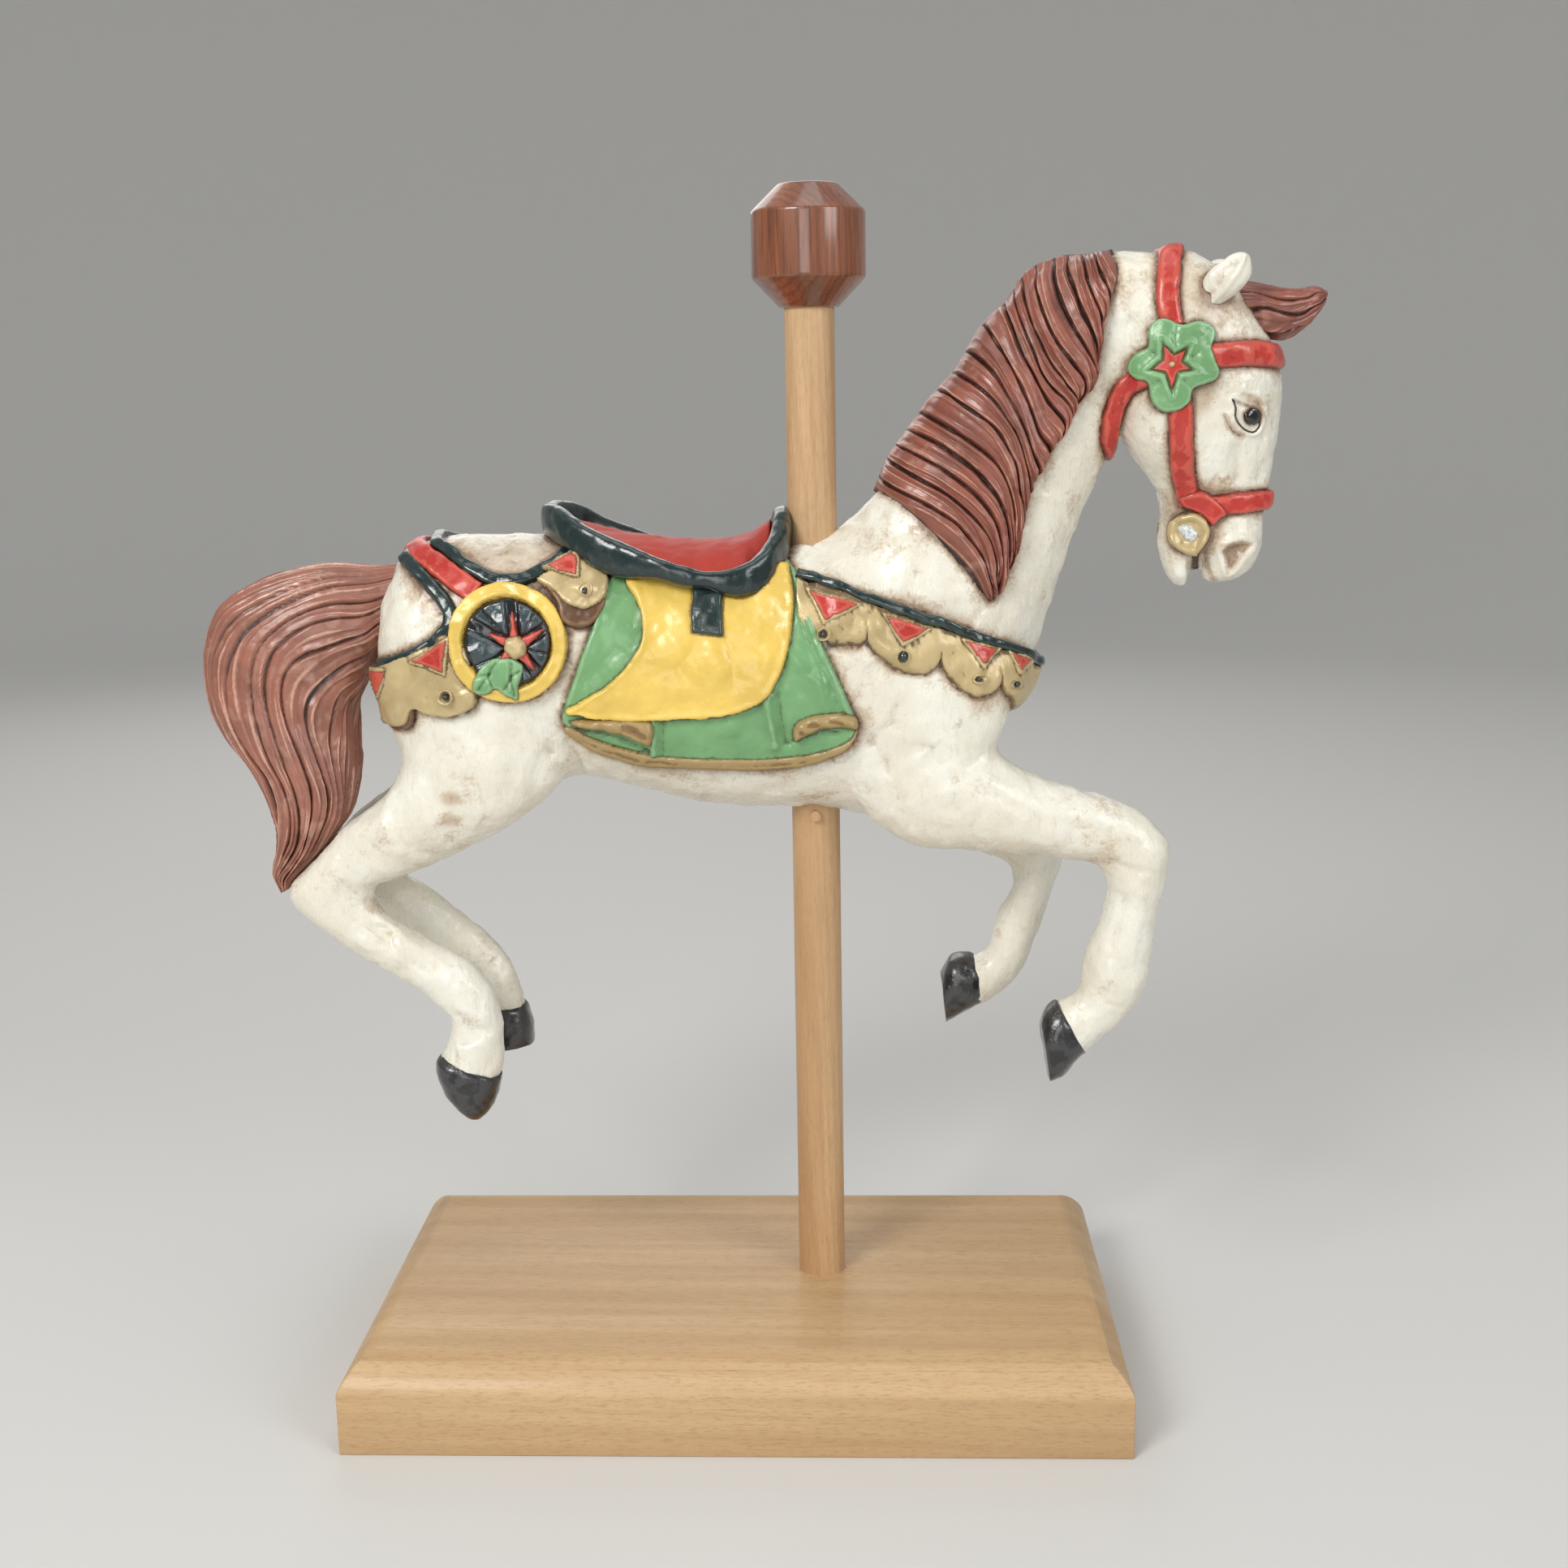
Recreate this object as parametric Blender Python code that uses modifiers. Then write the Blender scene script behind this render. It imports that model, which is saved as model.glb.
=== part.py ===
"""Carousel horse on a pole and a wooden base.

The horse is one cast figure, with its saddle, harness, mane and tail. A dowel runs
through it from a board up to a turned knob. Sizes are in metres, +Z is up, and the
origin is the middle of the board's underside. The horse faces +X.

The figure is drawn in the millimetres of its own side view and carried to size by one
factor, so its pose and carving are shares of its length. The side view is a perspective
one: a point is given where its line of sight meets the horse's middle plane.
"""
import math

import bmesh
import bpy
import numpy as np
from mathutils import Vector
from mathutils.bvhtree import BVHTree
from mathutils.geometry import delaunay_2d_cdt

# Board
BASE_LENGTH = 0.3048
BASE_WIDTH = 0.1670
BASE_THICKNESS = 0.0381
BASE_EDGE_RADIUS = 0.0136
BASE_EDGE_SEGMENTS = 8

# Pole, and the sockets that hold its ends
POLE_DIAMETER = 0.01905
POLE_X = 0.0330
POLE_Y = 0.0000
POLE_SIDES = 32
BASE_SOCKET_DEPTH = 0.0220
FINIAL_SOCKET_DEPTH = 0.0200

# Turned knob on top of the pole
KNOB_TOP = 0.4745
KNOB_HEIGHT = 0.0450
KNOB_RADIUS = 0.0216
KNOB_TOP_RADIUS = 0.0112
KNOB_FOOT_RADIUS = 0.0110
KNOB_UPPER_CONE = 0.0100
KNOB_LOWER_CONE = 0.0110
KNOB_ROUNDING = 0.0006

# Peg through the pole under the belly
PEG_DIAMETER = 0.0042
PEG_REACH = 0.0022
PEG_DROP = 0.0003
PEG_SIDES = 24

# Horse
HORSE_LENGTH = 0.4380
BELLY_HEIGHT = 0.2372
BORE_CLEARANCE = 0.0003
FIT_GAP = 0.0003

# The side view's own millimetres
DRAWN_LENGTH = 438.0
DRAWN_POLE_X = 33.0
DRAWN_BELLY_Z = 237.0
EYE = Vector((49.9, -728.0, 397.7))
PICTURE_Y = 2.6
DOWN = Vector((0.0, 0.0, -1.0))

# Fineness of the figure
CLAY_GRAIN = 1.1
FLESH_GRAIN = 1.6
HORSE_TRIANGLES = 8450
FILLET_ROUNDS = 40

COLLECTION = "carousel_horse"
CUTTERS = "carousel_horse_cutters"


def clear_scene():
    for thing in list(bpy.data.objects):
        bpy.data.objects.remove(thing, do_unlink=True)


def collection(name):
    found = bpy.data.collections.get(name)
    if found is None:
        found = bpy.data.collections.new(name)
        bpy.context.scene.collection.children.link(found)
    return found


def material(name, colour, roughness, metallic=0.0):
    made = bpy.data.materials.new(name)
    made.use_nodes = True
    shader = made.node_tree.nodes["Principled BSDF"]
    shader.inputs["Base Color"].default_value = (*colour, 1.0)
    shader.inputs["Roughness"].default_value = roughness
    shader.inputs["Metallic"].default_value = metallic
    return made


def seen(x, z, y):
    """The point at depth y that the side view shows at (x, z)."""
    share = (y - EYE.y) / (PICTURE_Y - EYE.y)
    return Vector((EYE.x + (x - EYE.x) * share, y, EYE.z + (z - EYE.z) * share))


def through(points, per_span, closed=False):
    """Catmull-Rom rows through rows of numbers."""
    rows = np.asarray(points, dtype=float)
    count = len(rows)
    spans = count if closed else count - 1
    out = []
    for span in range(spans):
        index = [span - 1, span, span + 1, span + 2]
        if closed:
            index = [i % count for i in index]
        else:
            index = [min(max(i, 0), count - 1) for i in index]
        a, b, c, d = (rows[i] for i in index)
        for step in range(per_span):
            t = step / per_span
            out.append(0.5 * (2 * b + (c - a) * t + (2 * a - 5 * b + 4 * c - d) * t * t
                              + (3 * b - a - 3 * c + d) * t ** 3))
    if not closed:
        out.append(rows[-1])
    return np.array(out)


def skin_of_rings(rings):
    """Closed shell from equal rings, each end closed by a fan."""
    sides = len(rings[0])
    points = [point for ring in rings for point in ring]
    faces = []
    for row in range(len(rings) - 1):
        for k in range(sides):
            a = row * sides + k
            b = row * sides + (k + 1) % sides
            faces.append((a, b, b + sides, a + sides))
    for row in (0, len(rings) - 1):
        middle = sum((Vector(p) for p in rings[row]), Vector()) / sides
        points.append(middle)
        last = len(points) - 1
        for k in range(sides):
            faces.append((row * sides + k, row * sides + (k + 1) % sides, last))
    return points, faces


def power(value, exponent):
    return math.copysign(abs(value) ** exponent, value)


def loft(stations, sides=28, per_span=5, square=2.0, carve=None):
    """Skin through sections given by their two edge points in the side view.

    A station is x, z of one edge, x, z of the other, half the width across, the depth
    of its middle, and how much wider it is at the first edge.
    """
    rows = through([tuple(s) + (0.0,) * (7 - len(s)) for s in stations], per_span)
    rings = []
    for number, (x1, z1, x2, z2, half, depth, egg) in enumerate(rows):
        one = seen(x1, z1, depth)
        two = seen(x2, z2, depth)
        centre = (one + two) / 2
        reach = (one - two) / 2
        ring = []
        for k in range(sides):
            angle = 2 * math.pi * k / sides
            up = power(math.cos(angle), 2 / square)
            out = power(math.sin(angle), 2 / square) * (1 + egg * up)
            lift = carve(number / (len(rows) - 1), angle) if carve else 0.0
            spread = 1 + lift / max(reach.length, half)
            ring.append(centre + reach * up * spread + Vector((0, half * out * spread, 0)))
        rings.append(ring)
    return skin_of_rings(rings)


def fused(name, shells, grain, smoothing):
    """One mesh from overlapping closed shells."""
    points, faces = [], []
    for shell_points, shell_faces in shells:
        start = len(points)
        points += [tuple(p) for p in shell_points]
        faces += [tuple(i + start for i in face) for face in shell_faces]
    mesh = bpy.data.meshes.new(name)
    mesh.from_pydata(points, [], faces)
    facing = bmesh.new()
    facing.from_mesh(mesh)
    bmesh.ops.recalc_face_normals(facing, faces=facing.faces)
    facing.to_mesh(mesh)
    facing.free()
    thing = bpy.data.objects.new(name, mesh)
    collection(CUTTERS).objects.link(thing)
    remesh = thing.modifiers.new("fuse", "REMESH")
    remesh.mode = "VOXEL"
    remesh.voxel_size = grain
    soften = thing.modifiers.new("soften", "SMOOTH")
    soften.factor = 0.5
    soften.iterations = smoothing
    done = evaluated_mesh(thing)
    bpy.data.objects.remove(thing, do_unlink=True)
    return done


def fill_creases(mesh, rounds, pull=0.5, hold=0.06):
    """Ease hollow creases into fillets, and leave what stands out nearly as it is."""
    count = len(mesh.vertices)
    places = np.empty(count * 3)
    ends = np.empty(len(mesh.edges) * 2, dtype=np.int64)
    mesh.vertices.foreach_get("co", places)
    mesh.edges.foreach_get("vertices", ends)
    places = places.reshape(-1, 3)
    one, two = ends.reshape(-1, 2).T
    valence = np.bincount(one, minlength=count) + np.bincount(two, minlength=count)
    corners = np.array([tuple(p.vertices)[:4] for p in mesh.polygons])
    for _ in range(rounds):
        total = np.zeros_like(places)
        normal = np.zeros_like(places)
        cross = np.cross(places[corners[:, 2]] - places[corners[:, 0]],
                         places[corners[:, 3]] - places[corners[:, 1]])
        for axis in range(3):
            total[:, axis] += np.bincount(one, places[two, axis], count)
            total[:, axis] += np.bincount(two, places[one, axis], count)
            for k in range(4):
                normal[:, axis] += np.bincount(corners[:, k], cross[:, axis], count)
        normal /= np.maximum(np.linalg.norm(normal, axis=1, keepdims=True), 1e-12)
        shift = total / valence[:, None] - places
        outward = (shift * normal).sum(1) > 0
        places = places + shift * np.where(outward, pull, hold)[:, None]
    mesh.vertices.foreach_set("co", places.ravel())
    mesh.update()


def evaluated_mesh(thing):
    bpy.context.view_layer.update()
    graph = bpy.context.evaluated_depsgraph_get()
    return bpy.data.meshes.new_from_object(thing.evaluated_get(graph))


class Skin:
    """A surface that carved work is laid on."""

    def __init__(self, mesh):
        self.tree = BVHTree.FromPolygons([v.co for v in mesh.vertices],
                                         [tuple(p.vertices) for p in mesh.polygons])

    def near(self, point):
        place, normal, _, _ = self.tree.find_nearest(point)
        return place, normal

    def sighted(self, x, z):
        """Where the line of sight through (x, z) meets the near side."""
        aim = (Vector((x, PICTURE_Y, z)) - EYE).normalized()
        place, normal, _, _ = self.tree.ray_cast(EYE, aim)
        if place is None:
            return self.near(seen(x, z, -12.0))
        return place, normal


def mirrored(shell):
    points, faces = shell
    return [Vector((p[0], -p[1], p[2])) for p in points], [tuple(reversed(f)) for f in faces]


def both_sides(shell):
    return [shell, mirrored(shell)]


def edge_distance(points, outline):
    """Distance of each point to a closed outline, and whether it lies inside."""
    p = np.asarray(points)[:, None, :]
    a = np.asarray(outline)[None, :, :]
    b = np.roll(a, -1, axis=1)
    along = b - a
    share = np.clip(((p - a) * along).sum(2) / (along ** 2).sum(2), 0, 1)
    gap = np.sqrt((((a + along * share[..., None]) - p) ** 2).sum(2)).min(1)
    crosses = (a[..., 1] > p[..., 1]) != (b[..., 1] > p[..., 1])
    rise = np.where(along[..., 1] == 0, 1e-9, along[..., 1])
    where = a[..., 0] + (p[..., 1] - a[..., 1]) * along[..., 0] / rise
    inside = ((crosses & (p[..., 0] < where)).sum(1) % 2) == 1
    return gap, inside


def plate(outline, height, skin, step=2.0, edge=1.4, sink=2.5):
    """Raised work inside an outline of the side view, laid on the near side.

    height is a number or a function of x and z.
    """
    outline = np.asarray(outline, dtype=float)
    low, high = outline.min(0), outline.max(0)
    xs = np.arange(low[0] + step / 2, high[0], step)
    zs = np.arange(low[1] + step / 2, high[1], step)
    grid = np.array([(x, z) for x in xs for z in zs])
    gap, inside = edge_distance(grid, outline)
    grid = grid[inside & (gap > step * 0.45)]
    loop = len(outline)
    flat = [Vector(p) for p in np.vstack([outline, grid])]
    rim = [(k, (k + 1) % loop) for k in range(loop)]
    flat, _, faces, _, _, _ = delaunay_2d_cdt(flat, rim, [], 1, 1e-5)
    gap, _ = edge_distance([tuple(p) for p in flat], outline)
    top, under = [], []
    for (x, z), distance in zip(flat, gap):
        place, normal = skin.sighted(x, z)
        normal = (normal * 0.6 + Vector((0, -0.4, 0))).normalized()
        full = height(x, z) if callable(height) else height
        share = 1 - min(distance / edge, 1.0)
        top.append(place + normal * full * math.sqrt(max(0.0, 1 - share * share)))
        under.append(place - normal * sink)
    count = len(flat)
    shell = [tuple(f) for f in faces] + [tuple(i + count for i in reversed(f)) for f in faces]
    seen_edges = {}
    for face in faces:
        for k in range(len(face)):
            pair = (face[k], face[(k + 1) % len(face)])
            seen_edges[pair] = True
    for a, b in seen_edges:
        if (b, a) not in seen_edges:
            shell.append((b, a, a + count, b + count))
    return top + under, shell


def strap(path, half_width, height, skin, per_span=4, across=6, sink=2.0, over_top=False,
          hang=False):
    """Raised band along points of the near side, each (x, z) or (x, z, depth).

    half_width is a number, or a function of the share of the way along that gives the
    reach to either side. over_top runs the band on round to the far side, and hang lets
    its reach point straight down.
    """
    marks = []
    for mark in path:
        if len(mark) == 3:
            marks.append(skin.near(seen(*mark))[0])
        else:
            marks.append(skin.sighted(*mark)[0])
    if over_top:
        marks += [Vector((p.x, -p.y, p.z)) for p in reversed(marks[:-1])]
    spine = [Vector(p) for p in through([tuple(p) for p in marks], per_span)]
    rings = []
    for number, point in enumerate(spine):
        point, normal = skin.near(point)
        ahead = spine[min(number + 1, len(spine) - 1)]
        behind = spine[max(number - 1, 0)]
        side = (ahead - behind).normalized().cross(normal).normalized()
        if hang:
            side = (DOWN - normal * normal.dot(DOWN)).normalized()
        share = number / (len(spine) - 1)
        left, right = half_width(share) if callable(half_width) else (half_width, half_width)
        top, under = [], []
        for k in range(across + 1):
            u = 2 * k / across - 1
            place, out = skin.near(point + side * (u * (right if u > 0 else left)))
            out = (out + normal * 0.5).normalized()
            top.append(place + out * height * math.sqrt(max(0.0, 1 - abs(u) ** 5)))
            under.append(place - out * sink)
        rings.append(top + under[::-1])
    return skin_of_rings(rings)


def rounded(points, per_span=5):
    return through(points, per_span, closed=True)


def disc(x, z, radius, count=28):
    return [(x + radius * math.cos(2 * math.pi * k / count),
             z + radius * math.sin(2 * math.pi * k / count)) for k in range(count)]


def star(x, z, tips, radius, inner, turn, count=60, sharp=1.0):
    """Outline with tips, from a cosine of the angle."""
    out = []
    for k in range(count):
        angle = 2 * math.pi * k / count
        wave = (0.5 + 0.5 * math.cos(tips * (angle - turn))) ** sharp
        reach = inner + (radius - inner) * wave
        out.append((x + reach * math.cos(angle), z + reach * math.sin(angle)))
    return out


def trunk():
    return loft([(-137, 312, -138, 290, 12), (-132, 330, -134, 268, 25),
                 (-122, 342, -124, 254, 33), (-105, 346, -104, 248, 37),
                 (-85, 346, -82, 247, 38), (-62, 345, -62, 250, 36.5),
                 (-40, 340, -40, 246, 35.5), (-15, 337, -15, 239.5, 36),
                 (10, 338, 10, 236.8, 36), (35, 343, 33, 237, 36),
                 (60, 345, 55, 233, 35.5), (84, 334, 78, 232, 34.5),
                 (104, 316, 94, 240, 31), (114, 300, 102, 258, 24),
                 (117, 292, 104, 270, 13)], sides=36, square=2.25)


def neck():
    return loft([(20, 330, 80, 250, 32), (41, 345, 104, 266, 33), (55, 357, 115, 282, 29.5),
                 (65, 373, 121.5, 303, 24.5), (76, 388, 128, 323, 20.5),
                 (87, 403, 135, 345, 18), (99, 419, 143, 364, 17), (114, 433, 151, 382, 16.5),
                 (132, 443.5, 160, 397, 16.5), (148, 448, 169, 408, 17),
                 (162, 447, 176, 418, 16)], sides=32)


def head():
    skull = loft([(176, 448, 157, 446, 9), (187, 441, 149, 438, 15.5),
                  (197, 430, 147, 428, 19, 0, -0.05), (205, 418, 146, 417, 21, 0, -0.1),
                  (210.5, 406, 147, 405, 21.5, 0, -0.15), (212, 394, 149, 394, 21.3, 0, -0.2),
                  (211.5, 383, 151, 384, 20.5, 0, -0.22), (210, 373, 154, 375, 18.8, 0, -0.2),
                  (208.7, 364, 160.5, 366, 16, 0, -0.15), (207.5, 356, 166, 358, 13.6, 0, -0.05),
                  (206.5, 349, 167, 350, 12.6), (206.3, 342, 167, 342, 12.6),
                  (206, 336, 168, 336, 13)], sides=32, square=2.3)
    upper_lip = loft([(206.5, 348, 178, 347, 12), (206.3, 340, 181, 339, 13.6),
                      (205, 333, 182.3, 332, 13.2), (202, 328, 183, 326.5, 11.5),
                      (196, 324.8, 185, 323.2, 8)], sides=24)
    lower_lip = loft([(184, 347, 167, 346, 10.5), (181.5, 338, 166.7, 338, 10),
                      (180.6, 331, 168.3, 330, 9.5), (179.5, 325.5, 171, 325.3, 8.2),
                      (177.5, 322, 174, 322, 4)], sides=20)
    return [skull, upper_lip, lower_lip]


def near_foreleg():
    leg = loft([(56, 290, 46, 244, 12, -18), (76, 277, 57, 229, 15.5, -18),
                (92, 267, 71, 219.5, 16.5, -19), (106, 256, 88, 217.5, 16, -20),
                (121, 247.5, 106, 216.3, 14.5, -20.5), (137, 242.3, 125, 214.6, 13, -21),
                (153, 237.3, 139, 212.4, 12, -21),
                (166, 229.5, 147, 209.5, 12, -21), (173.3, 220, 149.3, 204, 12, -21),
                (174, 209, 149, 196, 11.3, -21), (171.3, 197, 146.5, 187, 10.5, -21),
                (169.5, 185, 142.5, 178, 10, -21), (168.3, 173, 139.8, 168, 10, -21),
                (166.8, 161, 139.6, 160.5, 10, -21), (161, 150.8, 136.5, 156, 9.5, -21),
                (151.5, 140, 132.8, 154.2, 9.5, -21), (141.5, 131.8, 130, 153, 10, -21)])
    hoof = loft([(142, 132, 131, 152.5, 9.8, -21), (139, 129.5, 129, 153, 11, -21),
                 (133, 122.5, 125.5, 149.5, 11.6, -21), (127.3, 119.6, 123.6, 144, 11, -21)],
                square=2.4)
    return [leg, hoof]


def far_foreleg():
    leg = loft([(75, 278, 62, 240, 14, 18), (95, 262, 80, 224, 15.5, 19),
                (112, 249, 98, 217, 13.5, 20), (126, 239, 108, 213, 12, 21),
                (132, 226, 111.5, 209, 12, 21), (131, 213, 112, 203, 11.3, 21),
                (128, 202, 108.5, 195, 10, 21), (125, 191, 104, 187.5, 9.5, 21),
                (121, 180, 102.5, 180, 9.7, 21), (115.5, 166.5, 101, 175.6, 9.7, 21),
                (107, 157.5, 98, 174, 9.3, 21), (99, 152.4, 95.5, 173.5, 9.8, 21)])
    hoof = loft([(99, 153.5, 97, 172.5, 9.6, 21), (96, 151.8, 93.5, 174, 10.8, 21),
                 (90, 148.2, 87, 172.6, 11.2, 21), (85, 145.5, 83, 165, 10.4, 21)], square=2.4)
    return [leg, hoof]


def near_hind():
    leg = loft([(-58, 278, -122, 306, 13, -17), (-63, 262, -131, 282, 17.5, -18),
                (-68, 248, -133, 258, 18, -19), (-80, 236, -139, 244.5, 17, -20),
                (-96, 225.5, -148, 236.3, 15, -20), (-112, 218, -157, 230.5, 13.3, -20),
                (-127, 211, -165.5, 222, 11.5, -20), (-140, 206.6, -174, 213.5, 10, -20),
                (-147.5, 203.5, -182, 205.5, 9.6, -20), (-148, 199.5, -183.5, 198.7, 9.8, -20),
                (-145.5, 194, -176, 190.5, 9.8, -20), (-137, 186.5, -162, 178.8, 9.2, -20),
                (-124, 179.5, -147.5, 169.4, 8.8, -20), (-111.5, 172.3, -134, 161.2, 8.8, -20),
                (-102.5, 162.5, -122.7, 151.5, 9.2, -20), (-98, 150, -119, 145, 8.8, -20),
                (-97.5, 138, -121.3, 137.5, 8.8, -20), (-97.7, 127, -124.5, 131, 9.8, -20),
                (-100, 121, -124.3, 130.6, 10, -20)])
    hoof = loft([(-100, 122.5, -123, 132, 9.8, -20), (-99.3, 121.3, -126, 128.5, 11.2, -20),
                 (-101.2, 114.5, -124.5, 118, 11.6, -20), (-104, 108.5, -119, 110.5, 10.6, -20),
                 (-107.5, 105.3, -114, 105.6, 7.5, -20)], square=2.4)
    return [leg, hoof]


def far_hind():
    leg = loft([(-58, 280, -120, 304, 13, 17), (-63, 264, -127, 282, 17, 18),
                (-68, 252, -131, 262, 17.5, 19), (-79, 242, -135, 250, 16.5, 20),
                (-93, 232.5, -144, 241.5, 14.5, 20), (-107, 225.5, -153, 235.5, 13, 20),
                (-120, 218.5, -161, 227, 11.3, 20), (-132, 214, -169, 218.5, 10, 20),
                (-136.5, 211, -173.5, 210.5, 9.6, 20), (-134.5, 208, -172, 203.5, 9.8, 20),
                (-127, 204.8, -163, 196, 9.5, 20), (-117, 196.6, -146.5, 184.5, 9, 20),
                (-106.5, 187.6, -131, 175, 8.8, 20), (-97.5, 178.4, -118.5, 166, 9, 20),
                (-91.5, 167, -110, 158.5, 9, 20), (-88.6, 157.5, -107, 154, 9, 20),
                (-88.2, 152, -106, 150.8, 9.6, 20)])
    hoof = loft([(-88.5, 154, -105.5, 152.5, 9.3, 20), (-86.9, 151.8, -107, 150.6, 10.6, 20),
                 (-85, 143.5, -108.5, 142, 11.3, 20), (-85.2, 137, -108, 136.4, 11, 20)],
                square=2.4)
    return [leg, hoof]


def tail():
    """A thick switch whose locks follow its own length."""
    locks = 11
    depth = 3.2

    def carve(share, angle):
        across = angle / math.pi + 0.025 * math.sin(7 * share + 3 * angle)
        ridge = abs(math.sin(math.pi * locks * across)) ** 0.6
        return depth * (ridge - 0.75) * min(1.0, 6 * share)

    return loft([(-112, 334, -124, 303, 9), (-127, 334.5, -138, 300, 11),
                 (-140, 333.8, -143.5, 291.5, 14), (-156, 335, -146.5, 286.5, 16),
                 (-172, 332.8, -148.5, 282.5, 17.5), (-187, 327.8, -149.3, 279.5, 18.5),
                 (-201, 319.5, -149.7, 275.5, 19), (-209, 306, -150, 270, 19, -1),
                 (-211, 291, -149.8, 263.5, 18.5, -2), (-208.5, 277, -149.8, 257.5, 18, -4),
                 (-203, 265.5, -150.8, 249.5, 17, -6), (-196, 256, -152.8, 241.5, 15.5, -8),
                 (-190.5, 245, -156.3, 234, 14, -10), (-187, 235, -161.5, 227, 12.5, -12),
                 (-185.6, 226, -167, 220, 11, -14), (-186.8, 218, -173.5, 213.5, 9, -15),
                 (-188.5, 210.5, -180, 207.5, 6.5, -16), (-186, 201.8, -183.2, 203, 2.5, -17)],
                sides=104, per_span=3, carve=carve)


def forelock():
    def carve(share, angle):
        return 1.0 * (abs(math.sin(4 * angle)) - 0.6) * min(1.0, 4 * share)

    return loft([(186, 436, 190, 412, 8), (197, 436, 202, 414.5, 10.5),
                 (208, 434.2, 211, 414.3, 9.5), (217, 433.3, 218, 417.3, 7),
                 (224, 433.5, 223.5, 422.5, 4.5), (228.4, 431.6, 227.4, 427.6, 1.6)],
                sides=40, carve=carve)


def ears():
    """Leaf-shaped ears, set on the head so that their edges stay clear of it."""
    ear = loft([(178, 430, 184.5, 422.5, 3.5, -11), (179.6, 434, 186.6, 426.4, 4.2, -14),
                (183.2, 439.6, 191.6, 430.4, 4.4, -16.5), (187.6, 443.6, 196.2, 433.8, 4.2, -18),
                (192, 446.3, 198.9, 438.2, 3.4, -18.6), (195.3, 446.9, 199, 442.6, 2.2, -18.6),
                (197.2, 446.2, 198.5, 444.8, 0.9, -18.4)], sides=20, square=2.2)
    return both_sides(ear)


def flesh():
    shells = [trunk(), neck()] + head()
    shells += near_foreleg() + far_foreleg() + near_hind() + far_hind()
    return shells


MANE_GUIDES = (
    ((57, 360.5), (66, 356), (77, 346.5), (87, 335.5), (96, 324.5), (102.5, 315.5)),
    ((62, 373), (74, 364), (86, 353), (95.5, 341), (101.5, 329), (104, 317.5)),
    ((70, 384), (83, 374), (96, 361), (104.5, 348), (108, 335), (106.5, 322)),
    ((79, 396), (91, 385), (103, 373), (110.5, 361), (113, 348), (111, 334)),
    ((88.5, 406.5), (99, 396), (110, 384), (116.5, 374), (118.5, 367), (116.5, 358)),
    ((98, 422), (106, 410), (115.5, 397), (122, 386), (125, 377), (122, 370)),
    ((107, 430.5), (114, 418), (122, 404.5), (128, 394), (130.5, 386), (127.5, 378)),
    ((115, 441.5), (120.5, 428), (127, 414), (132.5, 403), (135, 396), (132.5, 388)),
    ((127, 446.6), (130.5, 434), (135, 420), (139, 409), (140.5, 401), (137, 395.5)),
    ((138, 447.2), (140, 437), (141.8, 426), (142.6, 416), (142.3, 408), (140, 401)),
    ((147.5, 451), (149.3, 443), (149, 437), (146.5, 430), (143.5, 424), (142.3, 414)),
)


def mane(skin, locks=17, lift=3.4, depth=2.6, rows=90, steps=22):
    """Locks that sweep from the crest down the side of the neck."""
    guides = np.array(MANE_GUIDES, dtype=float)
    fans = through(guides.reshape(len(guides), -1), rows // (len(guides) - 1))
    count = len(fans)
    top, under = [], []
    for row, fan in enumerate(fans):
        share = row / (count - 1)
        strand = through(fan.reshape(-1, 2), steps // (guides.shape[1] - 1))
        for step, (x, z) in enumerate(strand):
            down = step / (len(strand) - 1)
            place, normal = skin.sighted(x, z)
            if step == 0:
                place = Vector((seen(x, z, 0.0).x, 0.0, seen(x, z, 0.0).z))
                normal = Vector((-0.7, 0.0, 0.7))
            wave = share + 0.012 * math.sin(9 * down + 4 * share)
            ridge = abs(math.sin(math.pi * locks * wave)) ** 0.6
            edge = min(1.0, share * 14, (1 - share) * 14, (1 - down) * 7) ** 0.6
            raised = (lift + depth * (ridge - 0.8)) * edge if step else 0.0
            top.append(place + normal * raised)
            under.append(place - normal * 3.0)
    width = len(top) // count
    faces = []
    for row in range(count - 1):
        for step in range(width - 1):
            a = row * width + step
            faces.append((a, a + 1, a + width + 1, a + width))
    size = len(top)
    shell = faces + [tuple(i + size for i in reversed(f)) for f in faces]
    rim = [row * width for row in range(count)]
    rim += [(count - 1) * width + step for step in range(1, width)]
    rim += [row * width + width - 1 for row in range(count - 2, -1, -1)]
    rim += list(range(width - 2, 0, -1))
    for k, a in enumerate(rim):
        b = rim[(k + 1) % len(rim)]
        shell.append((a, b, b + size, a + size))
    return top + under, shell


def seat_line(x):
    """Height of the seat's middle and of its edge, and the half width, at x."""
    middle = np.interp(x, (-68, -55, -40, -25, -10, 2, 10, 18), (354, 350, 346, 344, 343, 343.5, 346, 351))
    edge = np.interp(x, (-68, -55, -40, -25, -10, 2, 10, 18), (352, 346, 340, 336, 333, 333, 335, 341))
    half = np.interp(x, (-68, -58, -45, -25, -5, 8, 18), (12, 22, 28, 31, 31, 27, 14))
    return float(middle), float(edge), float(half)


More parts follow.
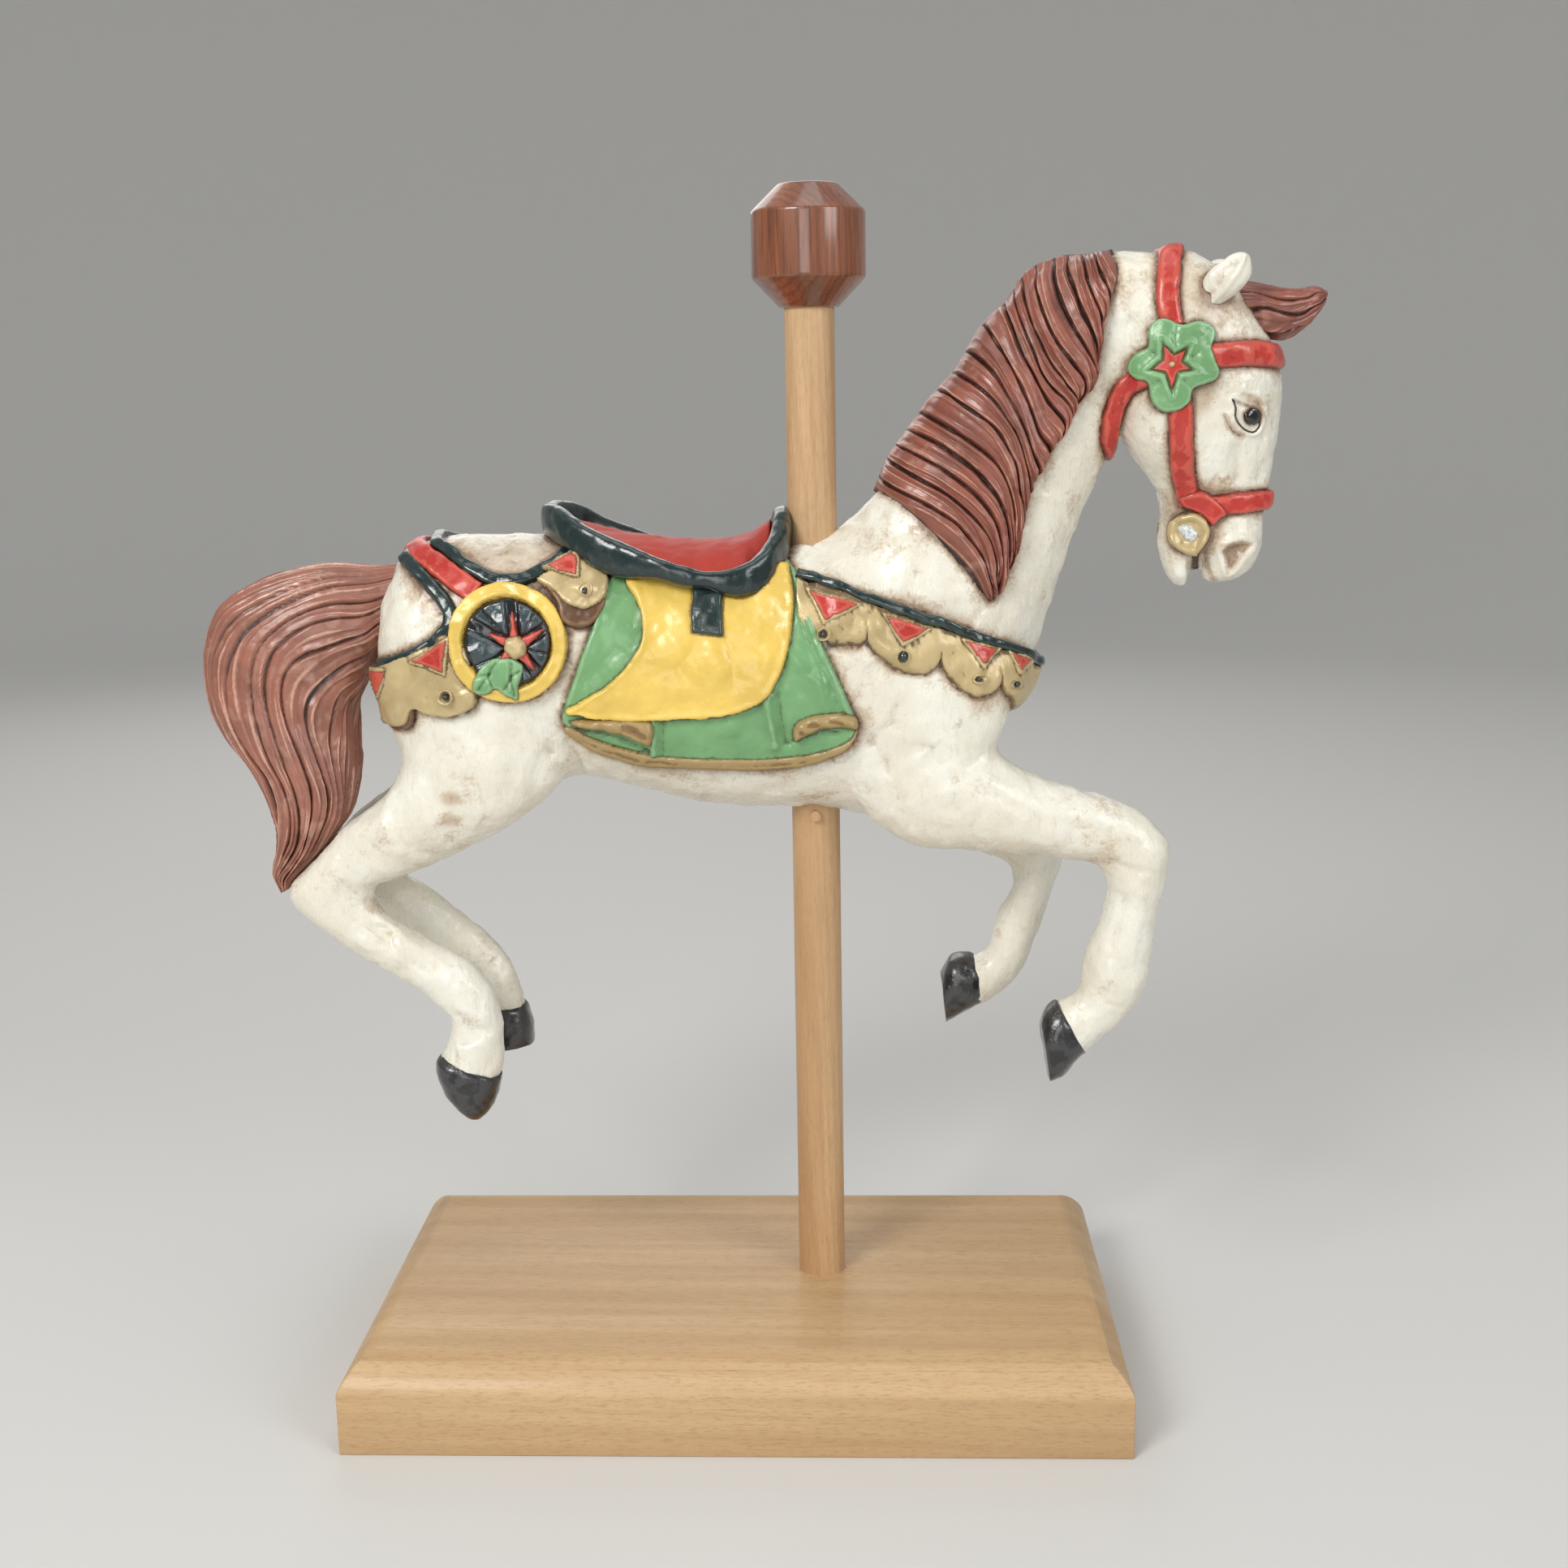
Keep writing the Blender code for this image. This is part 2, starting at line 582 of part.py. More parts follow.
SADDLE_RIM = ((-69, 357.5, 345, 0), (-68, 357.3, 343.5, -10), (-64, 355, 340.5, -19),
              (-57, 349.5, 335.5, -25), (-47, 344.4, 329.2, -29.5), (-38, 340.3, 327.6, -32),
              (-28, 336, 327.2, -34), (-18, 332.4, 324.2, -34.5), (-8, 330.2, 323.2, -34.5),
              (2, 331.3, 319.8, -34), (10, 335, 320.5, -31), (16, 341, 325, -25.5),
              (20, 348, 330.5, -17), (21, 353.5, 336.5, -8), (20.5, 355, 340, 0))
RIM_HALF_THICKNESS = 3.6


def saddle():
    rings = []
    for x in np.linspace(-66, 17, 24):
        middle, edge, half = seat_line(x)
        ring = []
        for k in range(13):
            v = 2 * k / 12 - 1
            ring.append(Vector((x, v * half, middle - (middle - edge) * abs(v) ** 2)))
        ring += [Vector((p.x, p.y, p.z - 9)) for p in reversed(ring)]
        rings.append(ring)
    return [skin_of_rings(rings), saddle_rim()]


def saddle_rim(per_span=4, sides=12):
    """Board round the seat, tallest at the cantle and the pommel."""
    half = []
    for x, upper, lower, depth in SADDLE_RIM:
        high, low = seen(x, upper, depth), seen(x, lower, depth)
        half.append((high.x, depth, (high.z + low.z) / 2, (high.z - low.z) / 2))
    loop = half + [(x, -y, z, tall) for x, y, z, tall in reversed(half[1:-1])]
    line = through(loop, per_span, closed=True)
    centre = line[:, :2].mean(0)
    points, faces = [], []
    for number, (x, y, z, tall) in enumerate(line):
        ahead = line[(number + 1) % len(line)] - line[number - 1]
        out = Vector((ahead[1], -ahead[0], 0)).normalized()
        if out.x * (x - centre[0]) + out.y * (y - centre[1]) < 0:
            out = -out
        for k in range(sides):
            angle = 2 * math.pi * k / sides
            points.append(Vector((x, y, z)) + out * RIM_HALF_THICKNESS * power(math.cos(angle), 0.8)
                          + Vector((0, 0, tall * power(math.sin(angle), 0.8))))
    total = len(line)
    for row in range(total):
        for k in range(sides):
            a = row * sides + k
            b = row * sides + (k + 1) % sides
            c = ((row + 1) % total) * sides
            faces.append((a, b, c + (k + 1) % sides, c + k))
    return points, faces


BLANKET = ((-47, 328), (-54, 310), (-59, 298), (-64, 285), (-68, 274), (-66, 269.5), (-58, 262),
           (-47, 257.5), (-35, 254.3), (-20, 253.3), (-5, 252.5), (10, 252), (25, 253), (38, 256),
           (46, 260.5), (49.5, 266), (49, 272), (44, 284), (38, 298), (33, 311), (28, 327),
           (20, 336), (0, 336), (-25, 336))
FLAP = ((-40, 327), (-36, 317), (-34.5, 310), (-36, 301), (-43, 292), (-52, 284.5), (-65, 278),
        (-66, 275), (-55, 272.5), (-35, 271.3), (-15, 271.8), (-2, 273), (10, 277), (16, 282),
        (21, 291), (24.5, 303), (26, 317), (25, 330), (22, 337), (0, 336), (-20, 333))
FRONT_FOLD = ((20.5, 262), (21.5, 267.5), (28, 271.5), (38, 272.3), (45, 270.5), (48.5, 265.5),
              (47, 261), (43, 258.5), (42, 264.5), (36, 266.8), (28, 264.5))
REAR_FOLD = ((-65, 270.3), (-58, 272), (-45, 271), (-33, 270.5), (-32.5, 263.5), (-37, 263),
             (-44, 265.8), (-55, 268.5))
RUMP_DRAPE = ((-141.5, 293), (-141, 283), (-139.5, 276), (-136, 271), (-130, 271), (-127, 276.5),
              (-121, 274.8), (-113, 273.5), (-106, 275.5), (-101, 281), (-104, 300), (-113, 307),
              (-124, 301), (-134, 296.5))
SIDE_DRAPE = ((-76, 327), (-68, 331.5), (-60, 338), (-54, 335), (-47, 328), (-48, 321),
              (-52, 316.5), (-58, 315), (-65, 318), (-70, 323))
LEAF = ((-83.5, 299), (-82, 292), (-84.5, 281), (-88.5, 283), (-92, 286.5), (-101.5, 284),
        (-103, 288), (-99, 293), (-93, 298.5))
COLLAR = ((27, 325.5), (54, 316.5), (82, 306.5), (104, 298), (118, 292, 0))
MEDALLION_X, MEDALLION_Z = -88.0, 303.0
MEDALLION_RADIUS, MEDALLION_DISC = 24.0, 18.0
ROSETTE_X, ROSETTE_Z, ROSETTE_RADIUS = 170.5, 406.0, 17.5


def medallion_height(x, z):
    """Raised ring, a sunk disc, and a star with a boss on it."""
    dx, dz = x - MEDALLION_X, z - MEDALLION_Z
    reach = math.hypot(dx, dz)
    if reach > MEDALLION_DISC:
        return 5.0
    ray = max(0.0, math.cos(5 * (math.atan2(dz, dx) - math.pi / 2)))
    return 2.4 + 1.6 * ray * (1 - reach / MEDALLION_DISC) + (2.0 if reach < 5 else 0.0)


def scallops(share):
    """Depth of the breast collar under its strap, with a lobe between marks of its path."""
    lobes = 2 * (len(COLLAR) - 1)
    return 0.0, 12.0 + 9.0 * abs(math.sin(math.pi * lobes * share)) ** 0.55


def harness(skin):
    parts = []
    for outline, height in ((BLANKET, 3.0), (FLAP, 5.4), (FRONT_FOLD, 5.0), (REAR_FOLD, 4.2),
                            (RUMP_DRAPE, 3.2), (SIDE_DRAPE, 5.0)):
        parts += both_sides(plate(rounded(outline, 3), height, skin))
    parts += both_sides(plate([(-14, 325), (-1.5, 325), (-2, 304), (-15.5, 305)], 7.6, skin))
    circle = disc(MEDALLION_X, MEDALLION_Z, MEDALLION_RADIUS, 44)
    parts += both_sides(plate(circle, medallion_height, skin, step=1.5))
    parts += both_sides(plate(rounded(LEAF, 3), 5.6, skin))
    rosette = star(ROSETTE_X, ROSETTE_Z, 5, ROSETTE_RADIUS, 9.5, math.pi / 2 + 0.3, sharp=0.6)
    parts += both_sides(plate(rosette, 4.0, skin))
    parts += both_sides(plate(disc(178.5, 342.7, 8.0), 5.0, skin))
    return parts + straps(skin)


def straps(skin):
    parts = [strap(COLLAR, scallops, 3.8, skin, per_span=12, over_top=True, hang=True),
             strap([(x, z + 2, *rest) for x, z, *rest in COLLAR], 2.2, 5.0, skin, over_top=True)]
    hip = [(-141, 292.7), (-134, 295.5), (-126, 298.5), (-118, 302.8), (-112.5, 308), (-110.5, 314),
           (-113.5, 321), (-119.5, 328), (-125.5, 335), (-127.5, 339)]
    parts += both_sides(strap(hip, 2.4, 3.2, skin))
    croup = [(-100, 322.5), (-107.5, 328), (-114, 333.5), (-120.5, 339.5, -19), (-124, 343.5, 0)]
    parts.append(strap(croup, 4.4, 2.6, skin, over_top=True))
    loop = [(-60, 340), (-66, 335.5), (-72, 331.5), (-78, 328.7), (-85, 327.2), (-92, 327.6),
            (-98, 330), (-104, 334), (-110, 339), (-115, 344, -14), (-113, 346.5, 0)]
    parts.append(strap(loop, 2.2, 3.2, skin, over_top=True))
    parts.append(strap([(170, 420), (168, 432), (168.5, 444, -8), (169, 449, 0)], 4.4, 2.6, skin,
                       over_top=True))
    parts.append(strap([(184, 409), (200, 409.7), (209, 409.3, -12), (213, 409.3, 0)], 4.8, 2.6, skin,
                       over_top=True))
    parts.append(strap([(182, 352), (195, 353.5), (204, 354.5, -9), (208, 355, 0)], 4.0, 2.6, skin,
                       over_top=True))
    parts += both_sides(strap([(173.5, 394), (175, 378), (177, 362), (179, 347)], 4.6, 2.6, skin))
    parts.append(strap([(162, 402), (153, 397.5), (148.5, 388), (149.5, 377, -9), (150.5, 374, 0)],
                       4.0, 2.6, skin, over_top=True))
    return parts


def features(skin):
    """Eyes and nostrils."""
    eye = plate(rounded([(194, 390), (198, 393), (204, 390.5), (206.5, 385.5), (203, 381), (197, 382)], 3),
                2.2, skin)
    nostril = plate(rounded([(190, 333), (194, 339), (200, 340), (203.5, 336), (200, 329), (194, 327)], 3),
                    1.8, skin)
    return both_sides(eye) + both_sides(nostril)


def to_size(point):
    """From the side view's millimetres to the model's metres."""
    scale = HORSE_LENGTH / DRAWN_LENGTH
    return Vector((POLE_X + (point.x - DRAWN_POLE_X) * scale, POLE_Y + point.y * scale,
                   BELLY_HEIGHT + (point.z - DRAWN_BELLY_Z) * scale))


def cylinder(name, radius, low, high, sides=POLE_SIDES):
    """Upright cylinder on the pole's axis."""
    bpy.ops.mesh.primitive_cylinder_add(vertices=sides, radius=radius, depth=high - low,
                                        location=(POLE_X, POLE_Y, (low + high) / 2))
    made = bpy.context.object
    made.name = name
    for owner in list(made.users_collection):
        owner.objects.unlink(made)
    return made


def hide_cutter(cutter):
    collection(CUTTERS).objects.link(cutter)
    cutter.display_type = "WIRE"
    cutter.hide_render = True


def cut(target, cutter):
    hide_cutter(cutter)
    boolean = target.modifiers.new("cut_" + cutter.name, "BOOLEAN")
    boolean.operation = "DIFFERENCE"
    boolean.solver = "EXACT"
    boolean.object = cutter


def finish(thing, coat):
    collection(COLLECTION).objects.link(thing)
    thing.data.materials.clear()
    thing.data.materials.append(coat)


def shell_of(mesh):
    return [v.co.copy() for v in mesh.vertices], [tuple(p.vertices) for p in mesh.polygons]


def build_horse():
    body = fused("flesh", flesh(), FLESH_GRAIN, 2)
    fill_creases(body, FILLET_ROUNDS)
    skin = Skin(body)
    shells = [shell_of(body), tail(), forelock()] + ears() + both_sides(mane(skin))
    shells += saddle() + harness(skin) + features(skin)
    mesh = fused("horse_clay", shells, CLAY_GRAIN, 1)
    horse = bpy.data.objects.new("horse", mesh)
    for vertex in mesh.vertices:
        vertex.co = to_size(vertex.co)
    mesh.name = "horse"
    fewer = horse.modifiers.new("facets", "DECIMATE")
    triangles = sum(len(p.vertices) - 2 for p in mesh.polygons)
    fewer.ratio = HORSE_TRIANGLES / triangles
    finish(horse, material("painted_resin", (0.82, 0.78, 0.68), 0.3))
    mesh.shade_smooth()
    mesh.set_sharp_from_angle(angle=math.radians(60))
    bore = cylinder("pole_bore", POLE_DIAMETER / 2 + BORE_CLEARANCE,
                    BELLY_HEIGHT - HORSE_LENGTH, BELLY_HEIGHT + HORSE_LENGTH)
    cut(horse, bore)
    return horse


def build_base():
    """Board with rounded top edges and a socket for the pole."""
    board = bmesh.new()
    bmesh.ops.create_cube(board, size=1.0)
    bmesh.ops.scale(board, vec=(BASE_LENGTH, BASE_WIDTH, BASE_THICKNESS), verts=board.verts)
    bmesh.ops.translate(board, vec=(0, 0, BASE_THICKNESS / 2), verts=board.verts)
    upper = [e for e in board.edges if all(v.co.z > BASE_THICKNESS / 2 for v in e.verts)]
    bmesh.ops.bevel(board, geom=upper, offset=BASE_EDGE_RADIUS, segments=BASE_EDGE_SEGMENTS,
                    profile=0.5, affect="EDGES")
    mesh = bpy.data.meshes.new("base")
    board.to_mesh(mesh)
    board.free()
    base = bpy.data.objects.new("base", mesh)
    finish(base, material("light_wood", (0.62, 0.44, 0.26), 0.45))
    socket = cylinder("base_socket", POLE_DIAMETER / 2 + FIT_GAP,
                      BASE_THICKNESS - BASE_SOCKET_DEPTH, BASE_THICKNESS + BASE_SOCKET_DEPTH)
    cut(base, socket)
    return base


def build_pole():
    """Dowel from the board's socket to the knob's, with a hole for the peg."""
    low = BASE_THICKNESS - BASE_SOCKET_DEPTH + FIT_GAP
    high = KNOB_TOP - KNOB_HEIGHT + FINIAL_SOCKET_DEPTH - FIT_GAP
    pole = cylinder("pole", POLE_DIAMETER / 2, low, high)
    finish(pole, material("dowel_wood", (0.55, 0.38, 0.22), 0.5))
    pole.data.shade_smooth()
    pole.data.set_sharp_from_angle(angle=math.radians(40))
    hole = peg_cylinder("peg_hole", PEG_DIAMETER / 2 + FIT_GAP, POLE_DIAMETER)
    cut(pole, hole)
    return pole


def peg_cylinder(name, radius, reach):
    """Level cylinder across the pole, as far as reach from the axis each way."""
    bpy.ops.mesh.primitive_cylinder_add(vertices=PEG_SIDES, radius=radius, depth=2 * reach,
                                        location=(POLE_X, POLE_Y, peg_height()),
                                        rotation=(math.pi / 2, 0, 0))
    made = bpy.context.object
    made.name = name
    for owner in list(made.users_collection):
        owner.objects.unlink(made)
    return made


def peg_height():
    """The belly rests on the peg, which stays clear of it by the drop."""
    return BELLY_HEIGHT - PEG_DROP - PEG_DIAMETER / 2


def build_peg():
    peg = peg_cylinder("pole_peg", PEG_DIAMETER / 2, POLE_DIAMETER / 2 + PEG_REACH)
    finish(peg, material("peg_wood", (0.5, 0.3, 0.16), 0.55))
    peg.data.shade_smooth()
    peg.data.set_sharp_from_angle(angle=math.radians(40))
    return peg


def build_knob():
    """Turned knob: a straight band between two cones, on the pole's end."""
    foot = KNOB_TOP - KNOB_HEIGHT
    profile = ((KNOB_TOP_RADIUS, KNOB_TOP), (KNOB_RADIUS, KNOB_TOP - KNOB_UPPER_CONE),
               (KNOB_RADIUS, foot + KNOB_LOWER_CONE), (KNOB_FOOT_RADIUS, foot))
    turned = bmesh.new()
    ring = [turned.verts.new((0, 0, KNOB_TOP))]
    ring += [turned.verts.new((radius, 0, z)) for radius, z in profile]
    ring.append(turned.verts.new((0, 0, foot)))
    for one, two in zip(ring, ring[1:]):
        turned.edges.new((one, two))
    mesh = bpy.data.meshes.new("finial")
    turned.to_mesh(mesh)
    turned.free()
    knob = bpy.data.objects.new("finial", mesh)
    knob.location = (POLE_X, POLE_Y, 0)
    screw = knob.modifiers.new("turn", "SCREW")
    screw.steps = POLE_SIDES
    screw.render_steps = POLE_SIDES
    screw.use_merge_vertices = True
    screw.merge_threshold = 0.0001
    screw.use_normal_calculate = True
    ease = knob.modifiers.new("ease_edges", "BEVEL")
    ease.width = KNOB_ROUNDING
    ease.segments = 1
    ease.limit_method = "ANGLE"
    ease.angle_limit = math.radians(25)
    finish(knob, material("dark_wood", (0.09, 0.035, 0.02), 0.2))
    socket = cylinder("finial_socket", POLE_DIAMETER / 2 + FIT_GAP,
                      foot - FINIAL_SOCKET_DEPTH, foot + FINIAL_SOCKET_DEPTH)
    cut(knob, socket)
    return knob


def main():
    clear_scene()
    build_horse()
    build_base()
    build_pole()
    build_peg()
    build_knob()


main()
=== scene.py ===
"""Looks of the carousel horse on its stand: fine surfaces, paint and wood.

The figure is drawn in the millimetres of its own side view, as its solid is. A point is
given where its line of sight meets the horse's middle plane, and the near side's
trappings are laid on the skin where the line of sight meets it. The far side repeats
them. The mane's far side is plainer.
"""
import math

import bmesh
import bpy
import numpy as np
from mathutils import Matrix, Vector, noise
from mathutils.bvhtree import BVHTree
from mathutils.kdtree import KDTree
from mathutils.geometry import delaunay_2d_cdt


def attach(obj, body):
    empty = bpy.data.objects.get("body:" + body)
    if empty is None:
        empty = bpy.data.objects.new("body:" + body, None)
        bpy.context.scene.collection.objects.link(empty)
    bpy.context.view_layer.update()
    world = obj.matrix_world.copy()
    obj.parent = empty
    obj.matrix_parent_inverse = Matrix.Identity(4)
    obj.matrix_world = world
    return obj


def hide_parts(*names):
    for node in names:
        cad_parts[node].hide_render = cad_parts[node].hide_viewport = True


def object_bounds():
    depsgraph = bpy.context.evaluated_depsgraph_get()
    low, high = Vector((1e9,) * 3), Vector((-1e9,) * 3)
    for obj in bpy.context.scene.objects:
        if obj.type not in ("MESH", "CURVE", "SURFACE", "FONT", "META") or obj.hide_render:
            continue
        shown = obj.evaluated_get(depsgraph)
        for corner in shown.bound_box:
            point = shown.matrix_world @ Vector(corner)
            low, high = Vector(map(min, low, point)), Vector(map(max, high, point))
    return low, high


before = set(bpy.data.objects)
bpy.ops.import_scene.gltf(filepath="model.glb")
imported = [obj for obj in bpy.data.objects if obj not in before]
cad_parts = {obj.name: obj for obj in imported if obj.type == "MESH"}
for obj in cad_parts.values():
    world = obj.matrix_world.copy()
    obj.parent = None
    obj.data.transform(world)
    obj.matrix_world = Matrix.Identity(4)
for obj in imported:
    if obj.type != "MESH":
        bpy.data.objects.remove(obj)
cad_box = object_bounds()

# The side view's millimetres, and how they sit on the stand
MM = 0.001
BELLY_RAISE = 0.2
EYE = Vector((49.9, -728.0, 397.7))
PICTURE_Y = 2.6
DOWN = Vector((0.0, 0.0, -1.0))
NEAR, FAR = 0, 1

# The camera, solved from the base's edges and the pole
LENS = 42.84
SENSOR = 36.0
PITCH, YAW, ROLL = math.radians(11.796), math.radians(-2.3226), math.radians(-0.9845)

# Fineness
FLESH_GRAIN = 1.6
FILLET_ROUNDS = 40
BODY_TRIANGLES = 178000
HEAD_TRIANGLES = 110000
LUMP = 0.30
LUMP_SIZE = 9.0
PIT = 0.10
PIT_SIZE = 2.6
HEAD_CUTS = (6.0, 0.040)
BODY_CUTS = (7.5, 0.055)
PIECE_CUTS = (5.0, 0.03)
CUT_BLEND = 0.24
PIECE_SHARE = 0.7
HEAD_OVERLAP = 1.2
FILLET_PULL = 0.5
FILLET_HOLD = 0.06

# How plates and straps lie on the skin
PLATE_SINK = 2.0
PLATE_LEAN = 0.4
STRAP_SINK = 1.8
STRAP_WAVE = 0.22
STRAP_WAVE_PITCH = 0.17


def tint(red, green, blue):
    """Linear colour from screen values."""
    def line(value):
        value /= 255
        return value / 12.92 if value < 0.04045 else ((value + 0.055) / 1.055) ** 2.4
    return (line(red), line(green), line(blue), 1.0)


def seen(x, z, y):
    """The point at depth y that the side view shows at (x, z)."""
    share = (y - EYE.y) / (PICTURE_Y - EYE.y)
    return Vector((EYE.x + (x - EYE.x) * share, y, EYE.z + (z - EYE.z) * share))


def pictured(places):
    """Side view positions of points, with the far side seen as if from its own side."""
    depth = -np.abs(places[:, 1])
    share = (PICTURE_Y - EYE.y) / (depth - EYE.y)
    x = EYE.x + (places[:, 0] - EYE.x) * share
    z = EYE.z + (places[:, 2] - EYE.z) * share
    return x, z


def through(points, per_span, closed=False):
    """Catmull-Rom rows through rows of numbers."""
    rows = np.asarray(points, dtype=float)
    count = len(rows)
    spans = count if closed else count - 1
    out = []
    for span in range(spans):
        index = [span - 1, span, span + 1, span + 2]
        if closed:
            index = [i % count for i in index]
        else:
            index = [min(max(i, 0), count - 1) for i in index]
        a, b, c, d = (rows[i] for i in index)
        for step in range(per_span):
            t = step / per_span
            out.append(0.5 * (2 * b + (c - a) * t + (2 * a - 5 * b + 4 * c - d) * t * t
                              + (3 * b - a - 3 * c + d) * t ** 3))
    if not closed:
        out.append(rows[-1])
    return np.array(out)


def spaced(points, gap):
    """The same closed line with points at equal distances of about gap."""
    rows = np.asarray(points, dtype=float)
    rows = np.vstack([rows, rows[:1]])
    lengths = np.linalg.norm(np.diff(rows, axis=0), axis=1)
    along = np.concatenate([[0.0], np.cumsum(lengths)])
    count = max(int(along[-1] / gap), 4)
    marks = np.linspace(0, along[-1], count + 1)[:-1]
    return np.stack([np.interp(marks, along, rows[:, k]) for k in range(rows.shape[1])], 1)


def line_gap(x, z, line, closed=False):
    """Distance of each point to a line."""
    p = np.stack([x, z], 1)[:, None, :]
    a = np.asarray(line, dtype=float)
    if closed:
        a = np.vstack([a, a[:1]])
    b = a[None, 1:, :]
    a = a[None, :-1, :]
    along = b - a
    share = np.clip(((p - a) * along).sum(2) / np.maximum((along ** 2).sum(2), 1e-9), 0, 1)
    return np.sqrt((((a + along * share[..., None]) - p) ** 2).sum(2)).min(1)


def is_inside(x, z, outline):
    a = np.asarray(outline, dtype=float)[None, :, :]
    b = np.roll(a, -1, axis=1)
    px, pz = x[:, None], z[:, None]
    crosses = (a[..., 1] > pz) != (b[..., 1] > pz)
    rise = b[..., 1] - a[..., 1]
    rise = np.where(rise == 0, 1e-9, rise)
    where = a[..., 0] + (pz - a[..., 1]) * (b[..., 0] - a[..., 0]) / rise
    return ((crosses & (px < where)).sum(1) % 2) == 1


def bell(gap, reach):
    """1 on a line, falling off to 0 at some reach from it."""
    return np.exp(-(gap / reach) ** 2)


def ramp(value, low, high):
    share = np.clip((value - low) / (high - low), 0, 1)
    return share * share * (3 - 2 * share)


def with_lines(rise, x, z, lines):
    """A height with ridges and grooves added, each a line, its height and its width."""
    for line, height, width in lines:
        rise = rise + height * bell(line_gap(x, z, line), width)
    return rise


def with_dents(rise, x, z, dents):
    """A height with dents and swellings added, each a middle, two reaches and a lift."""
    for cx, cz, wide, tall, lift in dents:
        rise = rise + lift * np.exp(-((x - cx) / wide) ** 2 - ((z - cz) / tall) ** 2)
    return rise


def skin_of_rings(rings, caps=True):
    """Shell from equal rings, each end closed by a fan."""
    sides = len(rings[0])
    points = [point for ring in rings for point in ring]
    faces = []
    for row in range(len(rings) - 1):
        for k in range(sides):
            a = row * sides + k
            b = row * sides + (k + 1) % sides
            faces.append((a, b, b + sides, a + sides))
    for row in (0, len(rings) - 1) if caps else ():
        middle = sum((Vector(p) for p in rings[row]), Vector()) / sides
        points.append(middle)
        last = len(points) - 1
        for k in range(sides):
            faces.append((row * sides + k, row * sides + (k + 1) % sides, last))
    return points, faces


def power(value, exponent):
    return math.copysign(abs(value) ** exponent, value)


def loft(stations, sides=28, per_span=5, square=2.0):
    """Skin through sections given by their two edge points in the side view.

    A section is (x, z, x, z, half width, depth, egg), where egg makes its first edge
    wider than its second one.
    """
    rows = through([tuple(s) + (0.0,) * (7 - len(s)) for s in stations], per_span)
    rings = []
    for x1, z1, x2, z2, half, depth, egg in rows:
        one = seen(x1, z1, depth)
        two = seen(x2, z2, depth)
        centre = (one + two) / 2
        reach = (one - two) / 2
        ring = []
        for k in range(sides):
            angle = 2 * math.pi * k / sides
            up = power(math.cos(angle), 2 / square)
            out = power(math.sin(angle), 2 / square) * (1 + egg * up)
            ring.append(centre + reach * up + Vector((0, half * out, 0)))
        rings.append(ring)
    return skin_of_rings(rings)


def joined(shells):
    points, faces = [], []
    for shell_points, shell_faces in shells:
        start = len(points)
        points += [tuple(p) for p in shell_points]
        faces += [tuple(i + start for i in face) for face in shell_faces]
    return points, faces


def raw_mesh(name, shell):
    points, faces = shell
    mesh = bpy.data.meshes.new(name)
    mesh.from_pydata([tuple(p) for p in points], [], faces)
    facing = bmesh.new()
    facing.from_mesh(mesh)
    bmesh.ops.recalc_face_normals(facing, faces=facing.faces)
    facing.to_mesh(mesh)
    facing.free()
    return mesh


def through_modifiers(mesh, *settings):
    """A mesh after modifiers, each given by its kind and its values."""
    thing = bpy.data.objects.new("work", mesh)
    bpy.context.scene.collection.objects.link(thing)
    for kind, values in settings:
        modifier = thing.modifiers.new(kind.lower(), kind)
        for key, value in values.items():
            setattr(modifier, key, value)
    bpy.context.view_layer.update()
    graph = bpy.context.evaluated_depsgraph_get()
    done = bpy.data.meshes.new_from_object(thing.evaluated_get(graph))
    bpy.data.objects.remove(thing, do_unlink=True)
    return done


def places_of(mesh):
    out = np.empty(len(mesh.vertices) * 3)
    mesh.vertices.foreach_get("co", out)
    return out.reshape(-1, 3)


def normals_of(mesh):
    out = np.empty(len(mesh.vertices) * 3)
    mesh.vertices.foreach_get("normal", out)
    return out.reshape(-1, 3)


def edges_of(mesh):
    out = np.empty(len(mesh.edges) * 2, dtype=np.int64)
    mesh.edges.foreach_get("vertices", out)
    return out.reshape(-1, 2).T


def put_places(mesh, places):
    mesh.vertices.foreach_set("co", np.ascontiguousarray(places).ravel())
    mesh.update()


def smoothed(places, one, two, rounds, factor=0.5):
    count = len(places)
    valence = np.bincount(one, minlength=count) + np.bincount(two, minlength=count)
    valence = np.maximum(valence, 1)[:, None]
    for _ in range(rounds):
        total = np.zeros_like(places)
        for axis in range(3):
            total[:, axis] += np.bincount(one, places[two, axis], count)
            total[:, axis] += np.bincount(two, places[one, axis], count)
        places = places + (total / valence - places) * factor
    return places


def fill_creases(mesh, rounds):
    """Ease hollow creases into fillets, and leave what stands out nearly as it is."""
    count = len(mesh.vertices)
    places = places_of(mesh)
    one, two = edges_of(mesh)
    valence = np.bincount(one, minlength=count) + np.bincount(two, minlength=count)
    corners = np.array([tuple(p.vertices)[:4] for p in mesh.polygons])
    for _ in range(rounds):
        total = np.zeros_like(places)
        normal = np.zeros_like(places)
        cross = np.cross(places[corners[:, 2]] - places[corners[:, 0]],
                         places[corners[:, 3]] - places[corners[:, 1]])
        for axis in range(3):
            total[:, axis] += np.bincount(one, places[two, axis], count)
            total[:, axis] += np.bincount(two, places[one, axis], count)
            for k in range(4):
                normal[:, axis] += np.bincount(corners[:, k], cross[:, axis], count)
        normal /= np.maximum(np.linalg.norm(normal, axis=1, keepdims=True), 1e-12)
        shift = total / valence[:, None] - places
        outward = (shift * normal).sum(1) > 0
        places = places + shift * np.where(outward, FILLET_PULL, FILLET_HOLD)[:, None]
    put_places(mesh, places)


